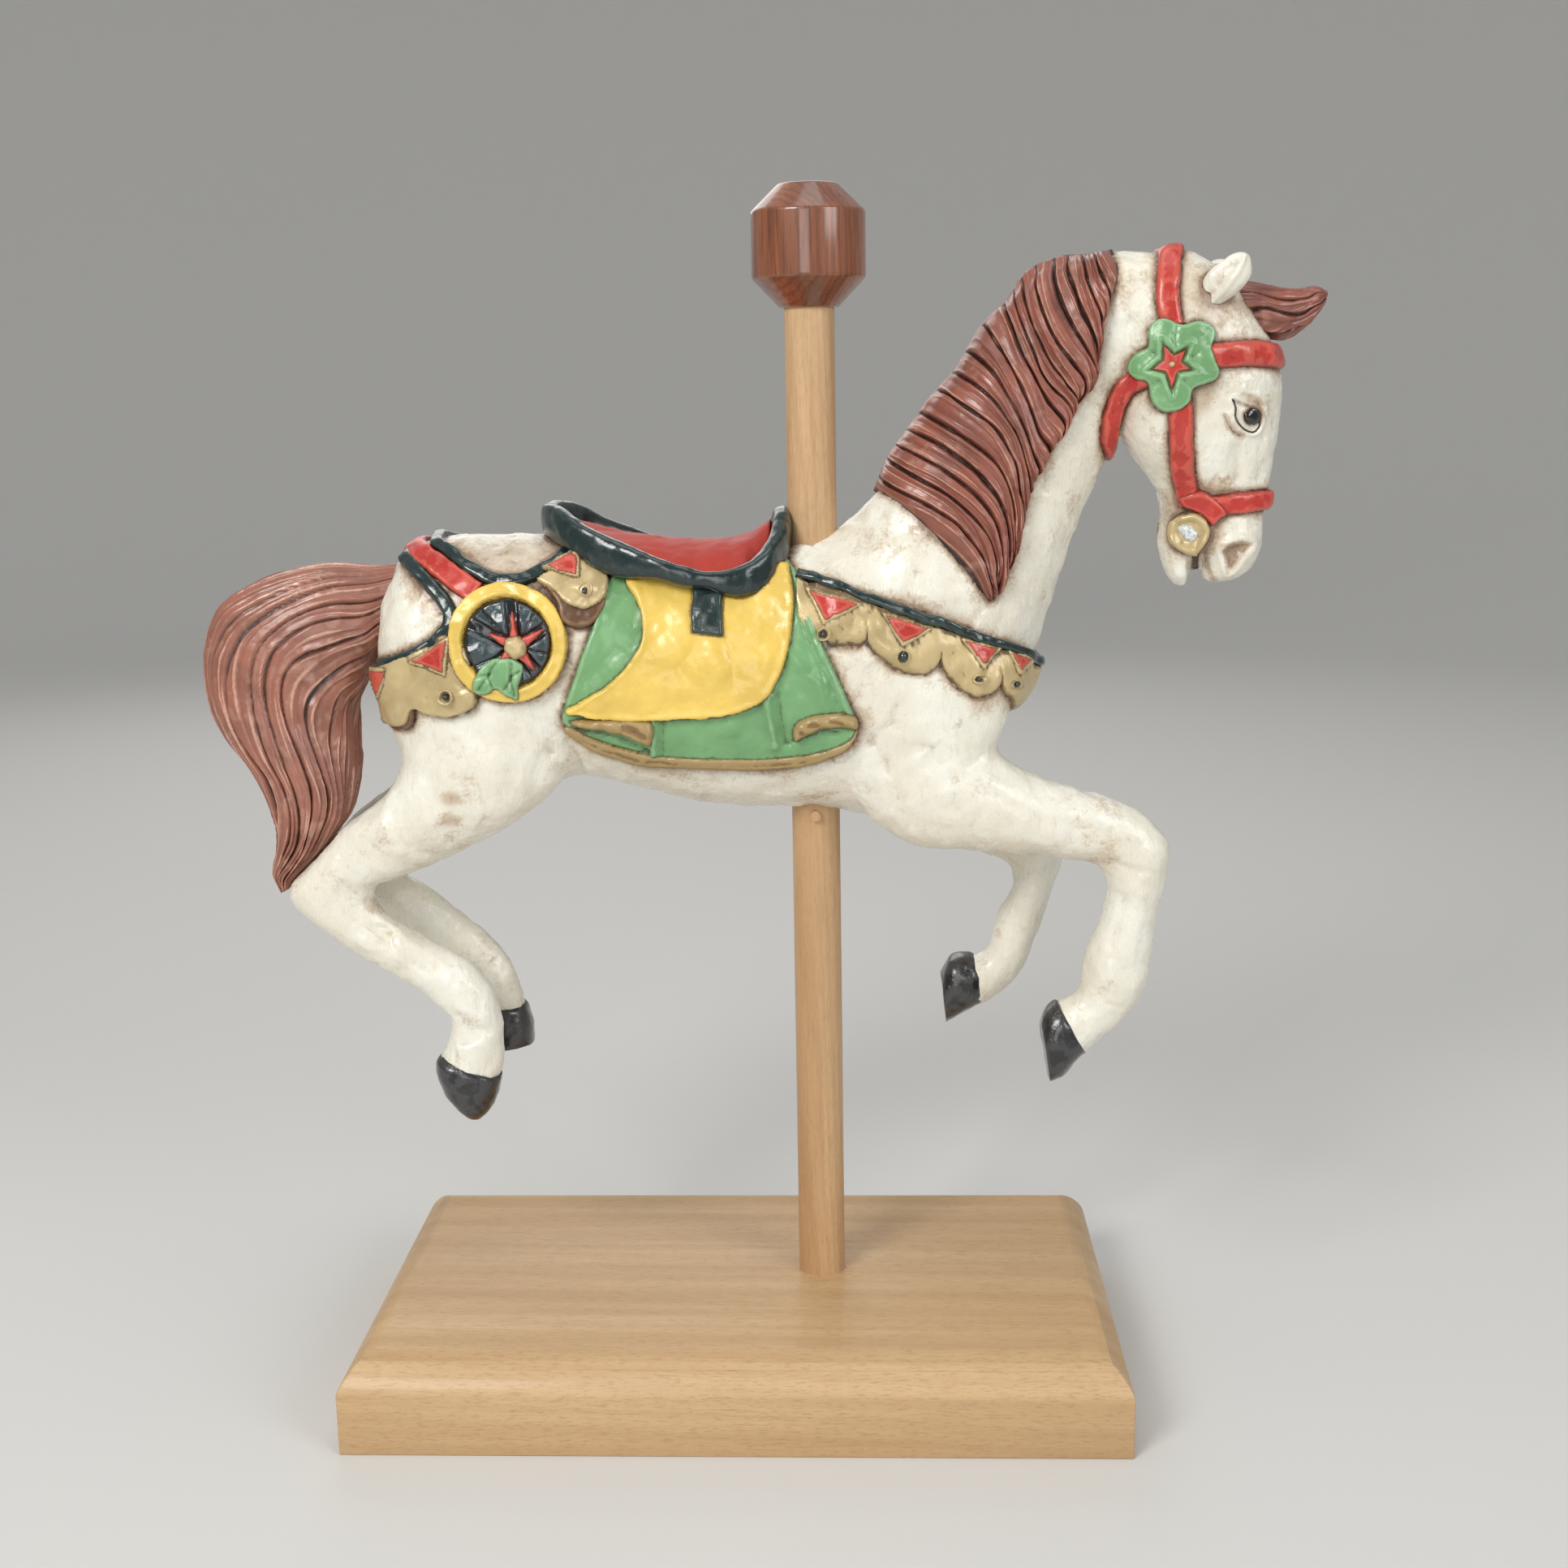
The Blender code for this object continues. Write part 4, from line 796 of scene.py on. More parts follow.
class Graph:
    """A material and short ways to add nodes to it."""

    def __init__(self, name):
        self.material = bpy.data.materials.new(name)
        self.material.use_nodes = True
        self.tree = self.material.node_tree
        self.shader = self.tree.nodes["Principled BSDF"]
        self.place = self.add("ShaderNodeTexCoord").outputs["Object"]

    def add(self, kind, sockets=None, **values):
        node = self.tree.nodes.new(kind)
        for key, value in values.items():
            setattr(node, key, value)
        for key, value in (sockets or {}).items():
            self.fill(node.inputs[key], value)
        return node

    def fill(self, socket, value):
        if isinstance(value, bpy.types.NodeSocket):
            self.tree.links.new(value, socket)
        else:
            socket.default_value = value

    def noise(self, size, detail=3.0, rough=0.5, place=None, distortion=0.0):
        """Noise with features of about size metres."""
        node = self.add("ShaderNodeTexNoise", {"Vector": place or self.place, "Scale": 1 / size,
                                               "Detail": detail, "Roughness": rough,
                                               "Distortion": distortion})
        return node.outputs["Fac"]

    def attribute(self, name):
        return self.add("ShaderNodeAttribute", attribute_name=name).outputs["Fac"]

    def math(self, operation, one, two):
        return self.add("ShaderNodeMath", {0: one, 1: two}, operation=operation).outputs[0]

    def times(self, one, two):
        return self.math("MULTIPLY", one, two)

    def plus(self, one, two):
        return self.math("ADD", one, two)

    def ramp(self, value, low, high, out_low=0.0, out_high=1.0):
        node = self.add("ShaderNodeMapRange", {"Value": value, "From Min": low, "From Max": high,
                                               "To Min": out_low, "To Max": out_high},
                        interpolation_type="SMOOTHSTEP")
        return node.outputs[0]

    def mix(self, share, one, two):
        sockets = {"Fac": share, "Color1": one, "Color2": two}
        return self.add("ShaderNodeMixRGB", sockets).outputs[0]

    def bump(self, height, distance):
        sockets = {"Height": height, "Distance": distance, "Strength": 1.0}
        return self.add("ShaderNodeBump", sockets).outputs[0]

    def set(self, **values):
        names = {"colour": "Base Color", "rough": "Roughness", "metal": "Metallic",
                 "coat": "Coat Weight", "coat_rough": "Coat Roughness", "normal": "Normal"}
        for key, value in values.items():
            self.fill(self.shader.inputs[names[key]], value)
        return self.material


UNEVEN_PAINT = 0.10


def paint(name, colour, wash=(72, 46, 28), wash_share=0.75, worn=None, worn_share=0.6, rough=0.3,
          metal=0.0, coat=0.25, grain=0.00012):
    """Brushed enamel over cast resin, with antique wash in the hollows and wear on ridges."""
    g = Graph(name)
    broad = g.noise(0.018, 2.0)
    fine = g.noise(0.0016, 4.0, 0.6)
    base = tint(*colour)
    deep = tuple(c * (1 - UNEVEN_PAINT) for c in base[:3]) + (1.0,)
    light = tuple(min(1.0, c * (1 + UNEVEN_PAINT)) for c in base[:3]) + (1.0,)
    body = g.mix(g.ramp(broad, 0.3, 0.7), deep, light)
    body = g.mix(g.times(g.ramp(fine, 0.25, 0.75), 0.25), body, deep)
    if worn:
        edge = g.plus(g.attribute("ridge"), g.times(fine, 0.5))
        body = g.mix(g.times(g.ramp(edge, 0.62, 0.98), worn_share), body, tint(*worn))
    # The stain attribute: wash along edges, and painted contact shade where other pieces lie on
    # this one.
    stain = g.plus(g.attribute("stain"), g.times(g.attribute("hollow"), 0.9))
    stain = g.plus(stain, g.times(g.ramp(fine, 0.3, 0.75), 0.35))
    body = g.mix(g.times(g.ramp(stain, 0.42, 1.05), wash_share), body, tint(*wash))
    height = g.plus(g.noise(0.0024, 3.0), g.times(g.noise(0.0006, 2.0), 0.4))
    return g.set(colour=body, rough=g.ramp(broad, 0.3, 0.7, rough * 0.8, rough * 1.25),
                 metal=metal, coat=coat, coat_rough=0.16, normal=g.bump(height, grain))


def cream():
    """Ivory paint with a brown antique wash rubbed into hollows and round the trappings."""
    g = Graph("ivory_paint")
    broad = g.noise(0.030, 3.0)
    mid = g.noise(0.006, 4.0, 0.6)
    fine = g.noise(0.0013, 5.0, 0.65)
    body = g.mix(g.ramp(broad, 0.3, 0.7), tint(234, 232, 220), tint(224, 219, 202))
    body = g.mix(g.times(g.ramp(mid, 0.5, 0.8), 0.35), body, tint(205, 192, 165))
    patches = g.times(g.ramp(mid, 0.35, 0.65), g.ramp(fine, 0.3, 0.7))
    stain = g.plus(g.attribute("stain"), g.times(patches, 0.5))
    body = g.mix(g.times(g.ramp(stain, 0.34, 0.95), 0.62), body, tint(172, 142, 108))
    body = g.mix(g.times(g.ramp(stain, 0.85, 1.5), 0.72), body, tint(118, 84, 58))
    hollow = g.plus(g.attribute("hollow"), g.times(fine, 0.5))
    body = g.mix(g.times(g.ramp(hollow, 0.5, 1.3), 0.45), body, tint(168, 140, 108))
    # The ink attribute gives a dark line: painted lines of the face, painted shade in the mouth's
    # gap and painted contact shade along the trappings.
    line = g.plus(g.attribute("ink"), g.times(g.math("SUBTRACT", fine, 0.5), 0.6))
    body = g.mix(g.ramp(line, 0.35, 0.8), body, tint(58, 38, 28))
    pits = g.noise(0.0011, 2.0, 0.7)
    body = g.mix(g.times(g.ramp(pits, 0.70, 0.75), 0.5), body, tint(150, 120, 88))
    brushed = g.add("ShaderNodeMapping", {"Vector": g.place, "Rotation": (0.0, 0.6, 0.0),
                                          "Scale": (1.0, 1.0, 0.28)}).outputs[0]
    strokes = g.noise(0.0022, 4.0, 0.6, brushed, 0.4)
    body = g.mix(g.times(g.ramp(strokes, 0.52, 0.78), 0.22), body, tint(188, 168, 136))
    height = g.plus(strokes, g.times(g.noise(0.0007, 2.0), 0.25))
    return g.set(colour=body, rough=g.ramp(mid, 0.3, 0.75, 0.22, 0.42), coat=0.3, coat_rough=0.14,
                 normal=g.bump(height, 0.00034))


def hair(name, dark, middle, light):
    """Hair paint: dark in the grooves, worn to a lighter tone along the burrs."""
    g = Graph(name)
    broad = g.noise(0.014, 3.0)
    fine = g.noise(0.0012, 4.0, 0.6)
    shade = g.plus(g.attribute("ridge"), g.times(g.math("SUBTRACT", fine, 0.5), 0.18))
    middle_b = tuple(c * 0.72 for c in tint(*middle)[:3]) + (1.0,)
    body = g.mix(g.ramp(broad, 0.35, 0.65), tint(*middle), middle_b)
    body = g.mix(g.ramp(shade, 0.05, 0.46), tint(*dark), body)
    rub = g.times(g.ramp(g.noise(0.007, 3.0), 0.55, 0.75), 0.35)
    body = g.mix(rub, body, tint(*light))
    worn = g.times(g.ramp(shade, 0.58, 0.85), g.ramp(fine, 0.25, 0.6, 0.45, 1.0))
    body = g.mix(g.times(worn, 0.7), body, tint(*light))
    height = g.plus(g.noise(0.002, 3.0), g.times(g.noise(0.0006, 2.0), 0.5))
    return g.set(colour=body, rough=g.ramp(broad, 0.3, 0.7, 0.28, 0.42), coat=0.3, coat_rough=0.18,
                 normal=g.bump(height, 0.00012))


def glass(name, colour):
    g = Graph(name)
    tone = g.mix(g.ramp(g.noise(0.0015, 2.0), 0.3, 0.7), tint(*colour),
                 tuple(c * 0.5 for c in tint(*colour)[:3]) + (1.0,))
    return g.set(colour=tone, rough=0.07, coat=1.0, coat_rough=0.03,
                 normal=g.bump(g.noise(0.002, 1.0), 0.00012))


def wood(name, light, dark, streak, along, rings, fibre, rough, coat, contrast=1.0, mottle=0.0):
    """Solid wood: growth rings round a far axis, and fine fibres along the grain."""
    g = Graph(name)
    stretch = [1.0, 1.0, 1.0]
    stretch[along] = 0.045
    flow = g.add("ShaderNodeMapping", {"Vector": g.place, "Scale": tuple(stretch)}).outputs[0]
    warp = g.noise(0.02, 3.0, 0.5, flow)
    wave = g.add("ShaderNodeTexWave", {"Vector": flow, "Scale": 1 / rings, "Distortion": 6.0,
                                       "Detail": 3.0, "Detail Scale": 1.2},
                 wave_type="BANDS", bands_direction="DIAGONAL").outputs["Fac"]
    fibres = g.noise(fibre, 5.0, 0.65, flow)
    pores = g.noise(fibre * 0.4, 3.0, 0.7, flow)
    body = g.mix(g.ramp(warp, 0.3, 0.7), tint(*light), tint(*dark))
    body = g.mix(g.times(g.ramp(wave, 0.35, 0.95), 0.28 * contrast), body, tint(*streak))
    body = g.mix(g.times(g.ramp(fibres, 0.48, 0.72), 0.55 * contrast), body, tint(*streak))
    body = g.mix(g.times(g.ramp(pores, 0.62, 0.72), 0.5 * contrast), body, tint(*dark))
    if mottle:
        cloud = g.noise(0.007, 4.0, 0.65)
        body = g.mix(g.times(g.ramp(cloud, 0.45, 0.75), mottle), body, tint(*dark))
        stretch[along] = 0.16
        short = g.add("ShaderNodeMapping", {"Vector": g.place, "Scale": tuple(stretch)}).outputs[0]
        dashes = g.noise(0.0007, 3.0, 0.6, short)
        body = g.mix(g.times(g.ramp(dashes, 0.50, 0.68), 0.8 * mottle), body, tint(*streak))
    height = g.plus(fibres, pores)
    return g.set(colour=body, rough=g.ramp(warp, 0.3, 0.7, rough * 0.9, rough * 1.15), coat=coat,
                 coat_rough=0.12, normal=g.bump(height, 0.00006))


def make_coats():
    return {
        "ivory": cream(),
        "mane": hair("mane_paint", (36, 22, 19), (146, 86, 70), (202, 154, 132)),
        "tail": hair("tail_paint", (50, 28, 22), (156, 100, 82), (208, 164, 142)),
        "green": paint("green_paint", (112, 160, 108), wash=(66, 62, 34), wash_share=0.7,
                       worn=(160, 196, 150), worn_share=0.35),
        "yellow": paint("yellow_paint", (226, 192, 92), wash=(120, 84, 34), wash_share=0.75),
        "red": paint("red_paint", (184, 50, 40), wash=(84, 24, 16), wash_share=0.7,
                     worn=(222, 118, 96), worn_share=0.35),
        "seat": paint("seat_paint", (172, 50, 36), wash=(84, 26, 18), wash_share=0.7, rough=0.5,
                      coat=0.0),
        "ink": paint("dark_paint", (20, 40, 40), wash=(9, 12, 12), wash_share=0.8,
                     worn=(58, 78, 74), worn_share=0.35, rough=0.2, coat=0.5),
        "slate": paint("slate_paint", (48, 64, 68), wash=(9, 9, 11), wash_share=0.92,
                       worn=(84, 96, 108), worn_share=0.4, rough=0.2, coat=0.5),
        "gold": paint("antique_gold_paint", (194, 173, 126), wash=(84, 58, 30), wash_share=0.8,
                      worn=(206, 186, 142), worn_share=0.3, metal=0.2, rough=0.34),
        "trim": paint("trim_paint", (134, 106, 66), wash=(62, 42, 24), wash_share=0.9,
                      worn=(190, 166, 112), worn_share=0.5, rough=0.34),
        # Brown for the drapes' lower layers: the drape gold darkened as painted shade under the
        # overhangs.
        "brown": paint("shaded_gold_paint", (96, 66, 44), wash=(36, 22, 14), wash_share=0.8,
                       worn=(150, 112, 80), worn_share=0.4),
        "hoof": paint("hoof_paint", (20, 20, 21), wash=(52, 40, 32), wash_share=0.35,
                      worn=(70, 70, 72), worn_share=0.5, rough=0.2, coat=0.7, grain=0.0003),
        "jewel": glass("dark_glass", (28, 34, 40)),
        "crystal": glass("white_glass", (226, 230, 232)),
        "eye": glass("eye_black", (10, 10, 11)),
        "maple": wood("maple", (204, 171, 128), (188, 153, 110), (158, 122, 82), 0, 0.016, 0.0007,
                      0.45, 0.1, contrast=0.42, mottle=0.5),
        "birch": wood("birch", (210, 176, 134), (188, 150, 108), (150, 112, 74), 2, 0.007, 0.0007,
                      0.45, 0.1, contrast=0.6, mottle=0.3),
        "walnut": wood("walnut", (160, 94, 56), (106, 56, 32), (42, 20, 12), 2, 0.006, 0.0008,
                       0.34, 0.9, contrast=1.1),
    }


# Pieces

def tone(thing, gaps=None, rounds=6, reach=0.22, ridge=None, stain=None, ink=None, rim=0.9):
    """Store where a surface is hollow, where it stands out, and what stains it or darkens it as
    painted shade.
    """
    mesh = thing.data
    places = places_of(mesh) / MM
    one, two = edges_of(mesh)
    lift = ((smoothed(places, one, two, rounds) - places) * normals_of(mesh)).sum(1)
    hollow = np.clip(lift / reach, 0, 1)
    if ridge is None:
        ridge = np.clip(-lift / reach, 0, 1)
    if stain is None:
        stain = np.zeros(len(places)) if gaps is None else 0.8 * bell(np.asarray(gaps), rim)
    if ink is None:
        ink = np.zeros(len(places))
    for name, values in (("hollow", hollow), ("ridge", ridge), ("stain", stain), ("ink", ink)):
        layer = mesh.attributes.new(name, "FLOAT", "POINT")
        layer.data.foreach_set("value", np.asarray(values, dtype=np.float32))


def piece(name, mesh, coat, rough=True, cuts=True):
    """A named piece from a mesh drawn in the side view's millimetres."""
    places = places_of(mesh)
    if rough:
        rise = PIECE_SHARE * (LUMP * lumps(places, LUMP_SIZE * 0.7, 3)
                              + PIT * 1.4 * lumps(places, PIT_SIZE, 4))
        if cuts:
            rise += tooled(mesh, places, *PIECE_CUTS, 13)
        places = places + normals_of(mesh) * rise[:, None]
    put_places(mesh, (places + np.array([0.0, 0.0, BELLY_RAISE])) * MM)
    mesh.name = name
    thing = bpy.data.objects.new(name, mesh)
    bpy.context.scene.collection.objects.link(thing)
    mesh.materials.clear()
    mesh.materials.append(coat)
    mesh.polygons.foreach_set("use_smooth", [True] * len(mesh.polygons))
    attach(thing, "root")
    return thing


TRAPPINGS = []
SHELLS = {}


def more_stain(thing, values):
    """Darken a toned piece where values are high."""
    layer = thing.data.attributes["stain"].data
    stain = np.empty(len(layer), dtype=np.float32)
    layer.foreach_get("value", stain)
    layer.foreach_set("value", np.maximum(stain, np.asarray(values, dtype=np.float32)))


def soiled_and_shaded(name, others, reach):
    """Wash that has settled on a piece along the edges of the pieces that lie on it, with painted
    contact shade along the same edges.
    """
    thing = bpy.data.objects[name]
    tree = BVHTree.FromPolygons(*joined([SHELLS[other] for other in others]))
    places = places_of(thing.data) / MM - np.array([0.0, 0.0, BELLY_RAISE])
    gaps = [tree.find_nearest(Vector(place), 4.0)[3] for place in places.tolist()]
    more_stain(thing, bell(np.array([9.0 if gap is None else gap for gap in gaps]), reach))


def relief(name, shells, coat, rim=0.9, reach=0.3):
    """A piece from plates or straps, which also stains the skin round it and gives the skin a
    painted line of shade along its edge.
    """
    points, faces = joined([shell[:2] for shell in shells])
    SHELLS[name] = (points, faces)
    gaps = [gap for shell in shells for gap in shell[2]]
    TRAPPINGS.append((points, faces))
    thing = piece(name, raw_mesh(name, (points, faces)), coat)
    tone(thing, gaps, rim=rim, reach=reach)
    return thing


def flat_work(name, outline, height, skin, coat, rim=0.9, reach=0.3, **values):
    plates = [plate(outline, height, skin, side, **values) for side in (NEAR, FAR)]
    return relief(name, plates, coat, rim, reach)


def bands(name, path, half_width, height, skin, coat, over_top=False, rim=0.9, **values):
    sides = (NEAR,) if over_top else (NEAR, FAR)
    straps = [strap(path, half_width, height, skin, over_top=over_top, side=side, **values)
              for side in sides]
    return relief(name, straps, coat, rim)


# Hair

MANE_LIFT = 1.6
MANE_GUIDES = (
    ((57, 360.5), (66, 356), (77, 346.5), (87, 335.5), (96, 324.5), (102.5, 315.5)),
    ((62, 373), (74, 364), (86, 353), (95.5, 341), (101.5, 329), (104, 317.5)),
    ((70, 384), (83, 374), (96, 361), (104.5, 348), (108, 335), (106.5, 322)),
    ((79, 396), (91, 385), (103, 373), (110.5, 361), (113, 348), (111, 334)),
    ((88.5, 406.5), (99, 396), (110, 384), (116.5, 374), (118.5, 367), (116.5, 358)),
    ((98, 422), (106, 410), (115.5, 397), (122, 386), (125, 377), (122, 370)),
    ((107, 430.5), (114, 418), (122, 404.5), (128, 394), (130.5, 386), (127.5, 378)),
    ((115, 441.5), (120.5, 428), (127, 414), (132.5, 403), (135, 396), (132.5, 388)),
    ((127, 446.6), (130.5, 434), (135, 420), (139, 409), (140.5, 401), (137, 395.5)),
    ((138, 447.2), (140, 437), (141.8, 426), (142.6, 416), (142.3, 408), (140, 401)),
    ((147, 448.8), (149, 442.4), (149, 437), (146.5, 430), (143.5, 424), (142.3, 414)),
)


def lock_profile(across, along, locks, seed, fine=0.04):
    """Height and tone from 0 to 1 over locks of uneven width.

    A lock is a round ridge with one thin worn line, and a dark groove of its own width
    lies beside it.
    """
    random = np.random.default_rng(seed)
    marks = np.arange(locks + 1) / locks
    marks[1:-1] += random.uniform(-0.26, 0.26, locks - 1) / locks
    tall = random.uniform(0.72, 1.0, locks)
    groove = random.choice([0.12, 0.16, 0.22, 0.34], locks)
    line_at = random.uniform(0.22, 0.70, locks)
    dip_at = random.uniform(0.25, 0.65, locks)
    lean = random.uniform(-0.5, 0.5, locks)
    sway = random.uniform(0, 2 * math.pi, locks)
    which = np.clip(np.searchsorted(marks, across, side="right") - 1, 0, locks - 1)
    share = np.clip((across - marks[which]) / (marks[which + 1] - marks[which]), 0, 1)
    turn = sway[which]
    wide = np.maximum(groove[which] * (0.75 + 0.6 * np.sin(5 * along + turn)), 0.10)
    body = np.sin(0.5 * math.pi * np.clip(np.minimum(share / 0.16, (1 - share) / wide), 0, 1))
    crown = 1 + lean[which] * (share - 0.5)
    dip = bell(share - dip_at[which] - 0.10 * np.sin(4 * along + turn), 0.11)
    burr = bell(share - line_at[which] - 0.10 * np.sin(6 * along + 2 * turn), fine)
    rim = bell(share - 0.14, fine)
    worn = burr * (0.55 + 0.45 * np.sin(8 * along + turn))
    worn = worn + rim * (0.4 + 0.5 * np.sin(7 * along - turn))
    high = body * (tall[which] * crown - 0.22 * dip + 0.16 * burr + 0.10 * rim)
    shade = np.clip(body * (0.52 - 0.16 * dip + 0.62 * np.clip(worn, 0, 1)), 0, 1)
    return high, shade, which


def evened(grid, rounds):
    """Smooth a grid of places, apart from its outer rows."""
    for _ in range(rounds):
        grid[1:-1] = (grid[:-2] + 2 * grid[1:-1] + grid[2:]) / 4
        grid[:, 1:-1] = (grid[:, :-2] + 2 * grid[:, 1:-1] + grid[:, 2:]) / 4
    return grid


def mane(skin, side, locks, rows, steps, depth, seed):
    """Locks that sweep from the crest down the side of the neck."""
    guides = np.array(MANE_GUIDES, dtype=float)
    fans = through(guides.reshape(len(guides), -1), rows // (len(guides) - 1))
    count = len(fans)
    width = (steps // (guides.shape[1] - 1)) * (guides.shape[1] - 1) + 1
    shares = np.linspace(0, 1, count)[:, None] + np.zeros((1, width))
    downs = np.linspace(0, 1, width)[None, :] + np.zeros((count, 1))
    wave = (shares + 0.022 * np.sin(6.5 * downs + 8 * shares)
            + 0.004 * np.sin(11 * downs + 17 * shares))
    high, shade, which = lock_profile(np.clip(wave, 0, 1).ravel(), downs.ravel(), locks, seed)
    high, shade, which = (a.reshape(count, width) for a in (high, shade, which))
    tip = 1 - 0.09 * (1 - np.clip(high, 0, 1)) - 0.03 * (1 + np.sin(3.7 * which))
    edge = np.minimum(np.minimum(shares * 18, (1 - shares) * 18), 1.0)
    edge = np.minimum(edge, np.clip((tip - downs) * 10, -0.5, 1.0))
    edge = np.sign(edge) * np.abs(edge) ** 0.6
    crest = ramp(downs, 0.0, 0.11)
    raised = (MANE_LIFT + depth * high * (0.45 + 0.55 * crest)) * edge
    tone_of = shade * ramp(edge, 0.0, 0.5)
    spots = np.zeros((count, width, 3))
    ways = np.zeros((count, width, 3))
    mean = MANE_LIFT + depth * 0.8
    under = []
    for row, fan in enumerate(fans):
        strand = through(fan.reshape(-1, 2), steps // (guides.shape[1] - 1))
        level = seen(*strand[0], 0.0)
        ridge_point = Vector((level.x, 0.0, level.z))
        for step, (x, z) in enumerate(strand):
            place, normal = skin.sighted(x, z, side)
            spots[row, step] = ridge_point.lerp(place + normal * mean, float(crest[row, step]))
            ways[row, step] = normal
            under.append(place - normal * 2.5)
    spots, ways = evened(spots, 30), evened(ways, 30)
    ways /= np.linalg.norm(ways, axis=2, keepdims=True)
    top = [Vector(p) for p in (spots + ways * ((raised - mean) * crest)[..., None]).reshape(-1, 3)]
    faces = []
    for row in range(count - 1):
        for step in range(width - 1):
            a = row * width + step
            faces.append((a, a + 1, a + width + 1, a + width))
    size = len(top)
    rim = [row * width for row in range(count)]
    rim += [(count - 1) * width + step for step in range(1, width)]
    rim += [row * width + width - 1 for row in range(count - 2, -1, -1)]
    rim += list(range(width - 2, 0, -1))
    shell = list(faces)
    below = []
    for a in rim:
        below.append(under[a])
    for k, a in enumerate(rim):
        after = (k + 1) % len(rim)
        shell.append((a, rim[after], size + after, size + k))
    middle = Vector((110.0, 0.0, 380.0))
    hub = size + len(rim)
    for k in range(len(rim)):
        shell.append((size + k, size + (k + 1) % len(rim), hub))
    return top + below + [middle], shell, list(tone_of.ravel()) + [0.0] * (len(rim) + 1)


def lofted_hair(stations, sides, locks, depth, seed, fine, per_span=10, bend=0.02):
    """Loft whose locks follow its own length, with the height of each point's lock."""
    rows = through([tuple(s) + (0.0,) * (6 - len(s)) for s in stations], per_span)
    angles = 2 * math.pi * np.arange(sides) / sides
    rings, values = [], []
    for number, (x1, z1, x2, z2, half, deep) in enumerate(rows):
        share = number / (len(rows) - 1)
        across = (angles / (2 * math.pi) + bend * np.sin(7 * share + 2 * angles)
                  + 0.3 * bend * np.sin(19 * share + 5 * angles)) % 1.0
        high, shade, _ = lock_profile(across, np.full(sides, 3 * share), locks, seed, fine)
        grow = min(1.0, 6 * share)
        lift = depth * (high - 0.85) * grow
        one, two = seen(x1, z1, deep), seen(x2, z2, deep)
        centre, reach = (one + two) / 2, (one - two) / 2
        ring = []
        for k, angle in enumerate(angles):
            spread = 1 + lift[k] / max(reach.length, half)
            ring.append(centre + reach * math.cos(angle) * spread
                        + Vector((0, half * math.sin(angle) * spread, 0)))
        rings.append(ring)
        values += list(shade)
    points, faces = skin_of_rings(rings)
    return points, faces, values + [0.5, 0.5]


TAIL = ((-112, 334, -124, 303, 9), (-127, 334.5, -138, 300, 11), (-140, 333.8, -143.5, 291.5, 14),
        (-156, 335, -146.5, 286.5, 16), (-172, 332.8, -148.5, 282.5, 17.5),
        (-187, 327.8, -149.3, 279.5, 18.5), (-201, 319.5, -149.7, 275.5, 19),
        (-209, 306, -150, 270, 19, -1), (-211, 291, -149.8, 263.5, 18.5, -2),
        (-208.5, 277, -149.8, 257.5, 18, -4), (-203, 265.5, -150.8, 249.5, 17, -6),
        (-196, 256, -152.8, 241.5, 15.5, -8), (-190.5, 245, -156.3, 234, 14, -10),
        (-187, 235, -161.5, 227, 12.5, -12), (-185.6, 226, -167, 220, 11, -14),
        (-186.8, 218, -173.5, 213.5, 9, -15), (-188.5, 210.5, -180, 207.5, 6.5, -16),
        (-186, 201.8, -183.2, 203, 2.5, -17))
FORELOCK = ((186, 436, 190, 412, 8), (197, 436, 202, 414.5, 10.5), (208, 434.2, 211, 414.3, 9.5),
            (217, 433.3, 218, 417.3, 7), (224, 433.5, 223.5, 422.5, 4.5),
            (228.4, 431.6, 227.4, 427.6, 1.6))


HAIR_END = 4.5
HAIR_EASE = 0.84
FORELOCK_SHADE = 0.8


def eased(mesh):
    """Draw in the last millimetres of the hair, so that it ends inside the solid's box."""
    places = places_of(mesh)
    for end, way in ((cad_box[0][0], -1), (cad_box[1][0], 1)):
        beyond = np.maximum(way * (places[:, 0] - end) + HAIR_END * MM, 0)
        places[:, 0] -= way * (1 - HAIR_EASE) * beyond
    put_places(mesh, places)


def make_hair(skin, coats):
    near = mane(skin, NEAR, locks=18, rows=560, steps=90, depth=3.8, seed=5)
    far = mane(skin, FAR, locks=14, rows=300, steps=60, depth=3.2, seed=9)
    tail = lofted_hair(TAIL, sides=420, locks=20, depth=3.6, seed=4, fine=0.055)
    forelock = lofted_hair(FORELOCK, sides=170, locks=7, depth=3.0, seed=8, fine=0.045)
    for name, shell, coat in (("mane_near", near, "mane"), ("mane_far", far, "mane"),
                              ("tail", tail, "tail"), ("forelock", forelock, "mane")):
        points, faces, values = shell
        TRAPPINGS.append((points, faces))
        thing = piece(name, raw_mesh(name, (points, faces)), coats[coat], cuts=False)
        eased(thing.data)
        shade = np.array(values) * (FORELOCK_SHADE if name == "forelock" else 1.0)
        tone(thing, ridge=shade, rounds=4, stain=np.zeros(len(points)))


# Saddle

def seat_line(x):
    """Height of the seat's middle and of its edge, and the half width, at x."""
    marks = (-68, -55, -40, -25, -10, 2, 10, 18)
    middle = np.interp(x, marks, (354, 350, 346, 344, 343, 343.5, 346, 351))
    edge = np.interp(x, marks, (352, 346, 340, 336, 333, 333, 335, 341))
    half = np.interp(x, (-68, -58, -45, -25, -5, 8, 18), (11, 21, 27, 30, 30, 26, 12))
    return float(middle), float(edge), float(half)


